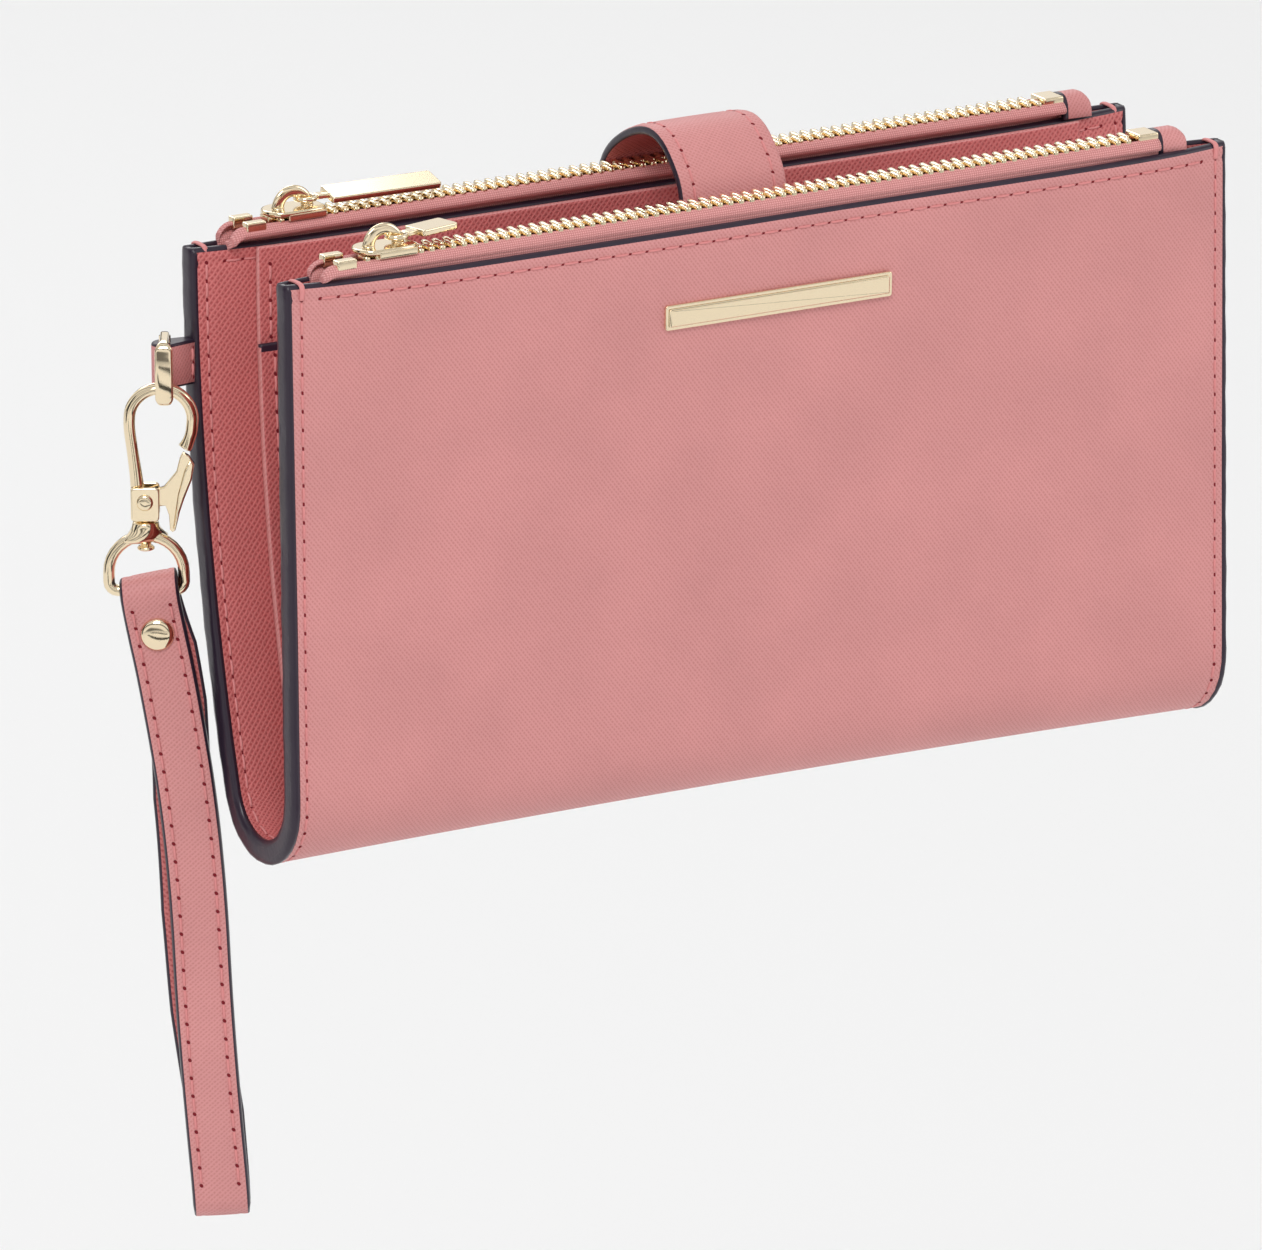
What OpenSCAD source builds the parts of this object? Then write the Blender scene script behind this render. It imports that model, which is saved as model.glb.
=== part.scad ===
// Wristlet wallet: two zipped pouches joined by one folded wrap, a closing tab and a clip-on wrist strap.
// Origin: middle of the length and depth, at the underside of the bottom fold. +X right, +Y back, +Z up.

/* [Wallet body] */
// Length from side edge to side edge
wallet_w = 182; // [176:1:190]
// Depth from the front face to the back face, near the top
depth = 37; // [36:0.5:38]
// Height of the front pouch
front_h = 102.7; // [102:0.1:104]
// Height of the back pouch
back_h = 101.7; // [101:0.1:102]
// Radius of the leaning back face
lean_r = 330; // [320:5:340]
// Height at which the back face stands upright
lean_z = 98.2; // [96:0.1:100]

/* [Leather] */
// Thickness of a body panel
leather_t = 1.6; // [1.4:0.1:1.6]
// Room for tape and lining between two bonded panels
seam_gap = 0.8; // [0.8:0.1:1]
// How far the front pouch's outer panel bows out at its mouth
front_out = 3.3; // [2.8:0.1:3.6]
// How far the front pouch's inner panel bows in
front_in = 2.5; // [2.2:0.1:2.6]
// How far the back pouch's outer panel bows out
back_out = 0.6; // [0.3:0.1:0.8]
// How far the back pouch's inner panel bows in
back_in = 2.6; // [2.2:0.1:2.8]

/* [Closing tab] */
// Width of the tab
tab_w = 20; // [18:1:22]
// Thickness of the tab
tab_t = 1.7; // [1.5:0.1:1.7]
// Outer radius of the arch
arch_r = 15.75; // [15.6:0.05:15.9]
// Height of the arch's centre
arch_z = 101.2; // [101:0.1:101.4]
// Height of the snap's centre
snap_z = 88; // [87:0.5:89]

/* [Zippers] */
// Pitch of the teeth on one side
pitch = 2.05; // [2:0.05:2.2]
// Number of teeth on one side
tooth_count = 73; // [68:1:73]
// Thickness of the woven tape
tape_t = 0.45; // [0.4:0.05:0.5]
// Length of a slider
slider_l = 12; // [11:0.5:13]
// Length of the back pull
back_pull_l = 25; // [20:1:26]
// Length of the front pull
front_pull_l = 12; // [10:1:14]

/* [Strap and clip] */
// Width of the strap
strap_w = 9.4; // [9:0.1:9.6]
// Thickness of one strap layer
strap_t = 1.8; // [1.6:0.1:1.9]
// Height of the strap's lower fold
strap_low = -64.2; // [-80:1:-50]
// Turn of the clip and strap about the upright
hang_turn = -30; // [-35:1:-25]

/* [Hidden] */
$fn = 48;

// Side profile. A path length u runs from the bottom of the fold: negative up the front, positive at the back.
front_y = -depth / 2;
lean_y = depth / 2 - lean_r;
fold_k = lean_r - depth;
fold_q = fold_k - lean_z + lean_r;
fold_r = -fold_q + sqrt(fold_q * fold_q - fold_k * fold_k - lean_z * lean_z + lean_r * lean_r);
fold_y = front_y + fold_r;
lean_low = atan2(fold_r - lean_z, fold_y - lean_y);
u_front = fold_r * PI / 2;
u_back = fold_r * (90 + lean_low) * PI / 180;
function front_u(z) = -(u_front + z - fold_r);
function back_u(z) = u_back + (asin((z - lean_z) / lean_r) - lean_low) * PI / 180 * lean_r;
function lean_angle(u) = lean_low + (u - u_back) / lean_r * 180 / PI;
function fold_angle(u) = 270 + u / fold_r * 180 / PI;
function arc(y, z, r, a) = [y + r * cos(a), z + r * sin(a)];

// A point at path length u and depth d below the outer face.
function wrap(u, d) =
    u < -u_front ? [front_y + d, fold_r - u_front - u]
    : u < u_back ? arc(fold_y, fold_r, fold_r - d, fold_angle(u))
    : arc(lean_y, lean_z, lean_r - d, lean_angle(u));

// Pouch swell: full over most of the length, nothing at the side seams and at the fold.
front_top = front_u(front_h);
back_top = back_u(back_h);
function lens(x) = 1 - pow(abs(2 * x / wallet_w), 8);
function rise(u) =
    let (low = u < 0 ? u_front : u_back, high = u < 0 ? -front_top : back_top)
    pow(max(0, min(1.05, (abs(u) - low) / (high - low))), 1.2);

// Half-length stations, closer together near the side seams.
half_xs = [0, 24, 48, 64, 74, 80, 84, 87, 89.5];
inner_xs = concat([for (i = [len(half_xs) - 1 : -1 : 1]) -half_xs[i]], half_xs);
full_xs = concat([-wallet_w / 2], inner_xs, [wallet_w / 2]);
function within(low, high) = [for (x = inner_xs) if (x >= low && x <= high) x];
function steps(a, b, n) = [for (i = [0 : n]) a + (b - a) * i / n];
function tail(list) = [for (i = [1 : len(list) - 1]) list[i]];
function backward(list) = [for (i = [len(list) - 1 : -1 : 0]) list[i]];

// A closed band between depths d0 and d1, swollen by bow, in the plane at x.
function side(us, d, bow, x) = [for (u = us) wrap(u, d + bow * lens(x) * rise(u))];
function band(us, d0, d1, bow, x) = concat(side(us, d0, bow, x), backward(side(us, d1, bow, x)));

// Joins one outline per station into a closed solid along X.
// The second half of an outline runs back alongside the first, so each end is a strip of four-sided faces.
module loft(xs, outlines) {
    n = len(outlines[0]);
    last = len(xs) - 1;
    strip = [for (j = [0 : n / 2 - 2]) [j, j + 1, n - 2 - j, n - 1 - j]];
    polyhedron(
        points = [for (i = [0 : last]) for (p = outlines[i]) [xs[i], p[0], p[1]]],
        faces = concat(
            strip,
            [for (s = strip) backward([for (j = s) last * n + j])],
            [for (i = [0 : last - 1]) for (j = [0 : n - 1])
                let (k = (j + 1) % n, a = i * n)
                each [[a + k, a + j, a + n + j], [a + k, a + n + j, a + n + k]]]));
}

module panel(xs, us, d0, d1, bow) loft(xs, [for (x = xs) band(us, d0, d1, bow, x)]);

// Turns a drawing in (Y, Z) into a solid from x0 to x1.
module along_x(x0, x1) translate([x0, 0, 0]) rotate([90, 0, 90]) linear_extrude(x1 - x0) children();
// Turns a drawing in (X, Z) into a solid from y0 to y1.
module along_y(y0, y1) translate([0, y1, 0]) rotate([90, 0, 0]) linear_extrude(y1 - y0) children();

seam_t = 2 * leather_t + seam_gap;
bond = 0.1;
split = 0.15;
front_us = concat(steps(front_top, -u_front, 11), tail(steps(-u_front, -split, 7)));
back_us = concat(steps(split, u_back, 6), tail(steps(u_back, back_top, 11)));

// ---- Panels ----
module back_outer_panel() color("palevioletred") panel(full_xs, back_us, 0, leather_t, -back_out);
module front_outer_panel() color("palevioletred") panel(full_xs, front_us, 0, leather_t, -front_out);
module back_inner_panel() color("indianred") panel(full_xs, back_us, seam_t - leather_t, seam_t, back_in);
module front_inner_panel() color("indianred") panel(full_xs, front_us, seam_t - leather_t, seam_t, front_in);

// ---- Linings: one thin U-shaped bag in each pouch ----
lining_t = 0.2;
lining_drop = 9.5;
lining_low = 3;
module lining(top_u, low_u, out_bow, in_bow) {
    near = leather_t + 0.05;
    far = seam_t - leather_t - 0.05;
    deep = steps(top_u, low_u, 10);
    shallow = steps(top_u, low_u + sign(top_u) * lining_t, 10);
    loft(inner_xs, [for (x = inner_xs) concat(
        side(deep, near, -out_bow, x), backward(side(deep, far, in_bow, x)),
        side(shallow, far - lining_t, in_bow, x), backward(side(shallow, near + lining_t, -out_bow, x)))]);
}
module back_lining() color("tan") lining(back_u(back_h - lining_drop), u_back + lining_low, back_out, back_in);
module front_lining() color("tan")
    lining(front_u(front_h - lining_drop), -u_front - lining_low, front_out, front_in);

// ---- Open pockets of the middle compartment ----
layer_t = 1.1;
pocket_half = 80;
pocket_low = 11;
slip_top = 84;
card_half = 80;
card_low = 16;
card_t = 0.8;
card_tops = [72, 60, 48];
function layer_d(i, t) = seam_t + bond + i * (t + bond);
module pocket_layer(i, z_top) panel(within(-pocket_half, pocket_half),
    steps(back_u(pocket_low), back_u(z_top), 10), layer_d(i, layer_t), layer_d(i, layer_t) + layer_t, back_in);
module pocket_panel() color("indianred") pocket_layer(0, back_h - 0.4);
module slip_pocket() color("indianred") pocket_layer(1, slip_top);
module card_layer(i) panel(within(-card_half, card_half),
    steps(front_u(card_tops[i]), front_u(card_low), 8),
    layer_d(i, card_t), layer_d(i, card_t) + card_t, front_in);
module card_slot_upper() color("indianred") card_layer(0);
module card_slot_middle() color("indianred") card_layer(1);
module card_slot_lower() color("indianred") card_layer(2);

// ---- Zippers ----
tooth_h = 1.8;
tooth_gap = 0.5;
row_y = 2.3;
chain_x0 = -77;
chain_l = (tooth_count + 0.5) * pitch;
tape_x0 = -84;
tape_x1 = 74;
front_chain = [-16.8, 105.3];
back_chain = [14.7, 104.8];

// One side of a chain: a bead with a row of teeth, which stays clear of the slider's wedge.
module teeth_row(chain, way, shift) {
    bead_y = 1.5;
    tooth_w = 1.15;
    translate([chain_x0, chain[0], chain[1] - tooth_h / 2]) linear_extrude(tooth_h) scale([1, way]) union() {
        translate([0, bead_y]) square([chain_l, row_y - bead_y]);
        for (i = [0 : tooth_count - 1])
            translate([shift + i * pitch, tooth_gap]) square([tooth_w, bead_y - tooth_gap + 0.2]);
    }
}

// Offsets a path by t / 2 to both sides.
function unit(v) = v / norm(v);
function path_normal(path, i) =
    let (a = path[max(0, i - 1)], b = path[min(len(path) - 1, i + 1)], d = unit(b - a)) [-d[1], d[0]];
function ribbon(path, t) = concat(
    [for (i = [0 : len(path) - 1]) path[i] + path_normal(path, i) * t / 2],
    [for (i = [len(path) - 1 : -1 : 0]) path[i] - path_normal(path, i) * t / 2]);

// A tape leaves its teeth sideways, folds over the slider's keel and runs down inside its panel.
tape_depth = 8.5;
module tape(chain, way, u_wall, d_wall, bow) {
    xs = within(tape_x0, tape_x1);
    loft(xs, [for (x = xs)
        let (wall = wrap(u_wall, d_wall + bow * lens(x) * rise(u_wall)),
             low = wrap(u_wall - sign(u_wall) * tape_depth,
                 d_wall + bow * lens(x) * rise(u_wall - sign(u_wall) * tape_depth)),
             path = [chain + [way * (row_y + 0.08), 0], chain + [way * 2.95, -0.1], chain + [way * 3.1, -0.9],
                 chain + [way * 2.75, -1.9], [wall[0], wall[1] + 0.35], low])
        ribbon(path, tape_t)]);
}
tape_d = leather_t + 0.05 + tape_t / 2;
module front_tape_outer() color("lightpink") tape(front_chain, -1, front_top, tape_d, -front_out);
module front_tape_inner() color("lightpink") tape(front_chain, 1, front_top, seam_t - tape_d, front_in);
module back_tape_outer() color("lightpink") tape(back_chain, 1, back_top, tape_d, -back_out);
module back_tape_inner() color("lightpink") tape(back_chain, -1, back_top, seam_t - tape_d, back_in);
module front_teeth_outer() color("gold") teeth_row(front_chain, -1, 0.2);
module front_teeth_inner() color("gold") teeth_row(front_chain, 1, 0.2 + pitch / 2);
module back_teeth_outer() color("gold") teeth_row(back_chain, 1, 0.2);
module back_teeth_inner() color("gold") teeth_row(back_chain, -1, 0.2 + pitch / 2);

// Two metal stops end the chain beside the slider's resting place.
stop_l = 3.8;
module top_stop(chain, way)
    translate([chain_x0 - 1.6 - stop_l, chain[0] + way * 2.3 - 1, chain[1] - 0.4]) cube([stop_l, 2, 1.5]);
module front_top_stop_outer() color("gold") top_stop(front_chain, -1);
module front_top_stop_inner() color("gold") top_stop(front_chain, 1);
module back_top_stop_outer() color("gold") top_stop(back_chain, 1);
module back_top_stop_inner() color("gold") top_stop(back_chain, -1);

// The far end: a flat metal stop, then a folded leather tab over the tape ends.
module bottom_stop(chain) translate([tape_x1 + 0.05, chain[0] - 2.5, chain[1] - 0.9]) cube([3.2, 5, 2.2]);
module end_tab(chain, floor_z) {
    top_z = chain[1] + 1.4;
    translate([tape_x1 + 3.3, 0, 0]) along_x(0, 5.4) translate([chain[0], floor_z]) union() {
        translate([-2.7, 0]) square([5.4, top_z - floor_z - 1]);
        translate([-1.7, 0]) square([3.4, top_z - floor_z]);
        for (way = [-1, 1]) translate([way * 1.7, top_z - floor_z - 1]) circle(1);
    }
}
module front_bottom_stop() color("gold") bottom_stop(front_chain);
module back_bottom_stop() color("gold") bottom_stop(back_chain);
module front_end_tab() color("palevioletred") end_tab(front_chain, front_h + 0.3);
module back_end_tab() color("palevioletred") end_tab(back_chain, back_h + 0.3);

// A slider: crown plate with side flanges, wedge, lower keel and a round bridge for the pull.
slider_x = -77.5;
crown_z = 1.1;
crown_t = 0.8;
bridge_r = 2.8;
bridge_wire = 0.6;
bridge_x = 5.6;
module slider(chain) translate([slider_x, chain[0], chain[1]]) {
    translate([0, 0, crown_z]) linear_extrude(crown_t) crown_outline(3.4, 2.4);
    for (way = [-1, 1])
        translate([3, way * 3.075 - 0.325, 0.75]) cube([slider_l - 4, 0.65, crown_z - 0.75 + 0.1]);
    translate([1.2, -0.22, -1.2]) cube([3, 0.44, 2.5]);
    translate([0.6, 0, -1.85]) linear_extrude(0.75) crown_outline(2, 1.4);
    translate([bridge_x, 0, crown_z + crown_t - 0.1]) rotate([90, 0, 0])
        rotate_extrude(angle = 180) translate([bridge_r, 0]) circle(bridge_wire);
}
// Plan of a slider plate: round at the wide end, narrower at the nose.
module crown_outline(half, nose) {
    union() {
        translate([half, 0]) circle(half);
        polygon([[half, -half], [slider_l - 2, -half * 0.95], [slider_l - 1, -nose], [slider_l - 1, nose],
            [slider_l - 2, half * 0.95], [half, half]]);
    }
}
module front_slider() color("gold") slider(front_chain);
module back_slider() color("gold") slider(back_chain);

// A pull: an eye round the bridge's right leg and a flat plate.
eye_hole = 1.35;
eye_r = 2.1;
eye_t = 0.9;
plate_t = 1.1;
plate_w = 4.9;
eye_up = 1.3;
eye_out = sqrt(bridge_r * bridge_r - eye_up * eye_up);
module pull(chain, length, yaw, roll) {
    translate([slider_x + bridge_x + eye_out, chain[0], chain[1] + crown_z + crown_t - 0.1 + eye_up])
        rotate([0, 0.5, yaw]) {
            difference() {
                union() {
                    translate([0, 0, -eye_t / 2]) cylinder(h = eye_t, r = eye_r);
                    translate([0, -1.1, -eye_t / 2]) cube([4.4, 2.2, eye_t]);
                }
                translate([0, 0, -eye_t]) cylinder(h = 2 * eye_t, r = eye_hole);
            }
            rotate([roll, 0, 0])
                translate([4, -plate_w / 2, -plate_t / 2]) cube([length - 4, plate_w, plate_t]);
        }
}
module front_pull() color("gold") pull(front_chain, front_pull_l, 14, 0);
module back_pull() color("gold") pull(back_chain, back_pull_l, 0, 14);

// ---- Closing tab ----
arch_y = -10 + arch_r;
tab_split_z = 81.2;
patch_low = 50;
tab_half = tab_w / 2;
tab_rear = wrap(back_u(tab_split_z), -0.35 - back_out * rise(back_u(tab_split_z)))[0];
module tab_patch() color("palevioletred") {
    xs = [-tab_half, tab_half];
    us = steps(back_u(patch_low), back_u(tab_split_z - 0.15), 4);
    loft(xs, [for (x = xs)
        concat(side(us, -bond - tab_t, -back_out, 0), backward(side(us, -bond, -back_out, 0)))]);
}
// Rear leg, arch and front leg in one strip, with a round lower end about the snap.
module closing_tab() color("palevioletred") difference() {
    union() {
        along_x(-tab_half, tab_half) union() {
            difference() {
                translate([arch_y, arch_z]) circle(arch_r);
                translate([arch_y, arch_z]) circle(arch_r - tab_t);
                translate([arch_y - 2 * arch_r, arch_z - 2 * arch_r]) square([4 * arch_r, 2 * arch_r]);
            }
            polygon([[tab_rear, tab_split_z], [tab_rear + tab_t, tab_split_z],
                [arch_y + arch_r, arch_z], [arch_y + arch_r - tab_t, arch_z]]);
        }
        along_y(arch_y - arch_r, arch_y - arch_r + tab_t) union() {
            translate([0, snap_z]) circle(tab_half);
            translate([-tab_half, snap_z]) square([tab_w, arch_z - snap_z]);
        }
    }
    translate([0, arch_y - arch_r - 1, snap_z]) rotate([-90, 0, 0]) cylinder(h = tab_t + 2, r = 1.6);
}

// ---- Snap: the stud stands on the front pouch, the socket and cap are riveted through the tab ----
leg_front = arch_y - arch_r;
module disc_y(y0, y1, r) translate([0, y0, snap_z]) rotate([-90, 0, 0]) cylinder(h = y1 - y0, r = r);
module snap_socket() color("gold") {
    difference() {
        disc_y(leg_front - 0.8, leg_front, 4.6);
        disc_y(leg_front - 1, leg_front + 0.1, 2.2);
    }
    difference() {
        disc_y(leg_front - 0.3, leg_front + tab_t, 1.5);
        disc_y(leg_front - 0.4, leg_front + tab_t + 0.1, 0.9);
    }
    difference() {
        disc_y(leg_front - 0.3, leg_front, 2.3);
        disc_y(leg_front - 0.4, leg_front + 0.1, 1.4);
    }
}
module snap_cap() color("gold") translate([0, leg_front + tab_t, snap_z]) rotate([-90, 0, 0]) {
    cylinder(h = 0.4, r = 4.8);
    translate([0, 0, 0.4]) cylinder(h = 0.4, r1 = 4.8, r2 = 3.9);
}
stud_base = front_y + seam_t + front_in * rise(front_u(snap_z)) + 0.2;
module snap_stud() color("gold") {
    disc_y(stud_base, stud_base + 0.5, 4.6);
    disc_y(stud_base + 0.4, leg_front - 1.25, 1.8);
}

// ---- Plain metal bar on the front face, in place of lettering ----
bar_l = 44;
bar_h = 4.4;
bar_z = 88.3;
bar_x = 1.2;
bar_lean = atan(front_out * (rise(front_u(bar_z + 3)) - rise(front_u(bar_z - 3))) / 6);
module ornament_bar() color("gold")
    translate([bar_x, front_y - front_out * rise(front_u(bar_z)) - 0.12, bar_z]) rotate([bar_lean, 0, 0]) {
        translate([-bar_l / 2, -0.6, -bar_h / 2]) cube([bar_l, 0.6, bar_h]);
        translate([-bar_l / 2 + 0.5, -1, -bar_h / 2 + 0.5]) cube([bar_l - 1, 0.5, bar_h - 1]);
    }

// ---- D-ring and its leather anchor ----
ring_pos = [-96, 15.8];
ring_z = 82.5;
ring_h = 11.3;
ring_reach = 6.5;
ring_wall = 1.3;
ring_band = 3;
rail_r = 0.75;
bar_r = 1;
anchor_h = 7.7;
// Places a child in the clip's own turned frame: its X is the clip's width, its -Y faces forward.
module hang() translate([ring_pos[0], ring_pos[1], 0]) rotate([0, 0, hang_turn]) children();

module anchor_tab() color("palevioletred") translate([0, 0, ring_z - anchor_h / 2]) difference() {
    union() {
        translate([ring_pos[0], ring_pos[1]]) cylinder(h = anchor_h, r = 2.3);
        linear_extrude(anchor_h) polygon([
            [ring_pos[0], ring_pos[1] - 2.3], [-wallet_w / 2 - 0.05, ring_pos[1] - 1.4],
            [-wallet_w / 2 - 0.05, ring_pos[1] + 1.4], [ring_pos[0], ring_pos[1] + 2.3]]);
    }
    translate([ring_pos[0], ring_pos[1], -1]) cylinder(h = anchor_h + 2, r = bar_r + 0.07);
}

// A flat outer side, a round rail above and below, and an upright bar in the leather.
module d_ring() color("gold") hang() translate([0, 0, ring_z]) {
    half = ring_h / 2;
    along_x(-ring_band / 2, ring_band / 2) polygon([
        [-ring_reach, -half + 0.4], [-ring_reach, half - 0.4],
        [-ring_reach - 0.7, half - 0.4], [-ring_reach - ring_wall, half - 1.2],
        [-ring_reach - ring_wall, -half + 1.2],
        [-ring_reach - 0.7, -half + 0.4]]);
    for (z = [rail_r - half, half - rail_r])
        translate([0, 0, z]) rotate([90, 0, 0]) cylinder(h = ring_reach + 0.6, r = rail_r);
    translate([0, 0, -half + 0.3]) cylinder(h = ring_h - 0.6, r = bar_r);
}

// ---- Snap hook ----
hook_y = -3.75;
hook_t = 2.2;
loop_c = [-0.75, 74.35];
loop_r = 6.2;
loop_wall = 1.8;
pin_x = -3.6;
pin_z = 60;
block_w = 4.8;
block_low = 56.7;
block_high = 62.4;
block_t = 4.4;
slot_t = 3;
arm_in = -4.1;
nose_in = [2, 69.55];
nose_out = [4.3, 68.25];
// The hook's outline: a round top, a long left arm and a short right arm that stops at the gate.
module hook_outline() difference() {
    union() {
        translate(loop_c) circle(loop_r);
        polygon([loop_c - [loop_r, 0], [pin_x - block_w / 2, block_high - 0.2], [arm_in, block_high - 0.2],
            nose_out, loop_c + [loop_r, 0]]);
    }
    translate(loop_c) circle(loop_r - loop_wall);
    polygon([loop_c - [loop_r - loop_wall, 0], [arm_in, block_high], nose_in,
        loop_c + [loop_r - loop_wall, 0]]);
    polygon([2 * nose_in - nose_out, 2 * nose_out - nose_in, [7, 60], [arm_in, 60], [arm_in, block_high]]);
}
module hook_frame() color("gold") hang() difference() {
    union() {
        along_y(hook_y - hook_t / 2, hook_y + hook_t / 2) hook_outline();
        translate([pin_x - block_w / 2, hook_y - block_t / 2, block_low])
            cube([block_w, block_t, block_high - block_low]);
    }
    translate([pin_x - 1.65, hook_y - slot_t / 2, block_low + 1.6]) cube([8, slot_t, block_high - block_low]);
    translate([pin_x, hook_y + 4, pin_z]) rotate([90, 0, 0]) cylinder(h = 8, r = 0.82);
    translate([pin_x, hook_y, block_low - 1]) cylinder(h = 3, r = 0.92);
}
// The pin is a rivet with a head on each face of the block.
module gate_pin() color("gold") hang() translate([pin_x, hook_y, pin_z]) rotate([90, 0, 0]) {
    translate([0, 0, -block_t / 2 - 0.1]) cylinder(h = block_t + 0.2, r = 0.8);
    for (z = [-block_t / 2 - 0.55, block_t / 2 + 0.05]) translate([0, 0, z]) cylinder(h = 0.5, r = 1.35);
}
module gate_spring() color("silver") hang() translate([pin_x, hook_y + 1.07, pin_z]) rotate([90, 0, 0])
    rotate_extrude() translate([1.12, 0]) circle(0.2);

// The gate: a boss on the pin, an arm that ends inside the nose, and a thumb lever that reaches down.
gate_t = 1.1;
gate_reach = 10.7;
module gate_outline() intersection() {
    union() {
        translate([pin_x, pin_z]) circle(1.3);
        polygon([[pin_x, pin_z - 1.2], [-0.2, 59], [0.3, 57.5], [0.5, 54.6], [1.4, 54.4], [2.2, 58],
            [2.7, 60.2],
            [4.1, 63.3], [4.6, 66.6], [4.7, 69], [2.7, 69], [2.4, 67.4], [1.8, 64.8], [-0.4, 62.4],
            [pin_x, pin_z + 1.2]]);
    }
    translate([pin_x, pin_z]) circle(gate_reach);
}
module hook_gate() color("gold") hang() difference() {
    union() {
        along_y(hook_y - gate_t / 2, hook_y + gate_t / 2) gate_outline();
        along_y(hook_y - 1.1, hook_y + 1.1) polygon([[1.9, 58.6], [2.8, 58.4], [4.8, 66.3], [3.9, 66.5]]);
    }
    translate([pin_x, hook_y + 4, pin_z]) rotate([90, 0, 0]) cylinder(h = 8, r = 0.87);
}

// ---- Swivel: a headed stem in the hook's block and a D-shaped eye that turns on it ----
eye_wire = 1;
eye_half = 6.3;
eye_bar_z = 44.2;
eye_arc_z = 47.4;
stem_r = 0.9;
collar_r = 2.2;
collar_low = 52.6;
module swivel_stem() color("gold") hang() translate([pin_x, hook_y, 0]) {
    translate([0, 0, collar_low - 0.7]) cylinder(h = block_low + 1.4 - collar_low + 0.7, r = stem_r);
    translate([0, 0, collar_low - 1.4]) cylinder(h = 0.8, r = 1.5);
}
module swivel_eye() color("gold") hang() translate([pin_x, hook_y, 0]) difference() {
    union() {
        translate([0, 0, eye_arc_z]) rotate([90, 0, 0])
            rotate_extrude(angle = 180) translate([eye_half, 0]) circle(eye_wire);
        for (way = [-1, 1]) {
            translate([way * eye_half, 0, eye_bar_z + 1.5])
                cylinder(h = eye_arc_z - eye_bar_z - 1.5, r = eye_wire);
            translate([way * (eye_half - 1.5), 0, eye_bar_z + 1.5]) rotate([90, way > 0 ? 90 : 180, 0])
                rotate_extrude(angle = 90) translate([1.5, 0]) circle(eye_wire);
        }
        translate([-eye_half + 1.5, 0, eye_bar_z]) rotate([0, 90, 0])
            cylinder(h = 2 * eye_half - 3, r = eye_wire);
        translate([0, 0, collar_low]) cylinder(h = block_low - 0.3 - collar_low, r = collar_r);
    }
    translate([0, 0, collar_low - 1]) cylinder(h = 6, r = stem_r + 0.08);
}

// ---- Wrist strap: one closed loop of leather over the eye's bar, pinched by a rivet ----
pinch_z = 40.2;
fold_in = eye_wire + 0.35;
fold_out = fold_in + strap_t;
flat_out = strap_t + 0.15;
rivet_z = 37;
module loop_outer() union() {
    translate([0, eye_bar_z]) circle(fold_out);
    polygon([[-fold_out, eye_bar_z], [-flat_out, pinch_z], [-flat_out, strap_low + flat_out],
        [flat_out, strap_low + flat_out], [flat_out, pinch_z], [fold_out, eye_bar_z]]);
    translate([0, strap_low + flat_out]) circle(flat_out);
}
module loop_inner() union() {
    translate([0, eye_bar_z]) circle(fold_in);
    polygon([[-fold_in, eye_bar_z], [-0.15, pinch_z], [-0.15, strap_low + flat_out],
        [0.15, strap_low + flat_out], [0.15, pinch_z], [fold_in, eye_bar_z]]);
    translate([0, strap_low + flat_out]) circle(0.15);
}
strap_top_x = pin_x;
strap_lean = 11.2;
strap_span = eye_bar_z - strap_low;
module strap_band() color("palevioletred") hang() difference() {
    intersection() {
        translate([0, hook_y, 0]) along_x(-30, 30) difference() {
            loop_outer();
            loop_inner();
        }
        along_y(-20, 20) polygon([
            [strap_top_x - strap_w / 2, 60], [strap_top_x - strap_w / 2, eye_bar_z - 2],
            [strap_top_x - strap_w / 2 + strap_lean, strap_low - 1],
            [strap_top_x + strap_w / 2 + strap_lean, strap_low - 1],
            [strap_top_x + strap_w / 2, eye_bar_z - 2], [strap_top_x + strap_w / 2, 60]]);
    }
    translate([rivet_x, hook_y + 5, rivet_z]) rotate([90, 0, 0]) cylinder(h = 10, r = 1.25);
}
rivet_x = strap_top_x + strap_lean * (eye_bar_z - rivet_z) / strap_span;
module strap_rivet() color("gold") hang() translate([rivet_x, hook_y, rivet_z]) rotate([90, 0, 0]) {
    translate([0, 0, -flat_out - 0.1]) cylinder(h = 2 * flat_out + 0.2, r = 1.2);
    for (way = [-1, 1]) mirror([0, 0, way < 0 ? 1 : 0]) translate([0, 0, flat_out + 0.02]) {
        cylinder(h = 0.4, r = 2.85);
        translate([0, 0, 0.4]) cylinder(h = 0.5, r1 = 2.85, r2 = 1.9);
    }
}

back_outer_panel();
back_inner_panel();
back_lining();
pocket_panel();
slip_pocket();
tab_patch();
back_tape_outer();
back_tape_inner();
back_teeth_outer();
back_teeth_inner();
back_top_stop_outer();
back_top_stop_inner();
back_bottom_stop();
back_end_tab();
anchor_tab();
front_outer_panel();
front_inner_panel();
front_lining();
card_slot_upper();
card_slot_middle();
card_slot_lower();
front_tape_outer();
front_tape_inner();
front_teeth_outer();
front_teeth_inner();
front_top_stop_outer();
front_top_stop_inner();
front_bottom_stop();
front_end_tab();
snap_stud();
ornament_bar();
closing_tab();
snap_socket();
snap_cap();
back_slider();
back_pull();
front_slider();
front_pull();
d_ring();
hook_frame();
gate_pin();
gate_spring();
swivel_stem();
hook_gate();
swivel_eye();
strap_band();
strap_rivet();
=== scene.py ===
import math

import bmesh
import bpy
from mathutils import Matrix, Vector


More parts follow.
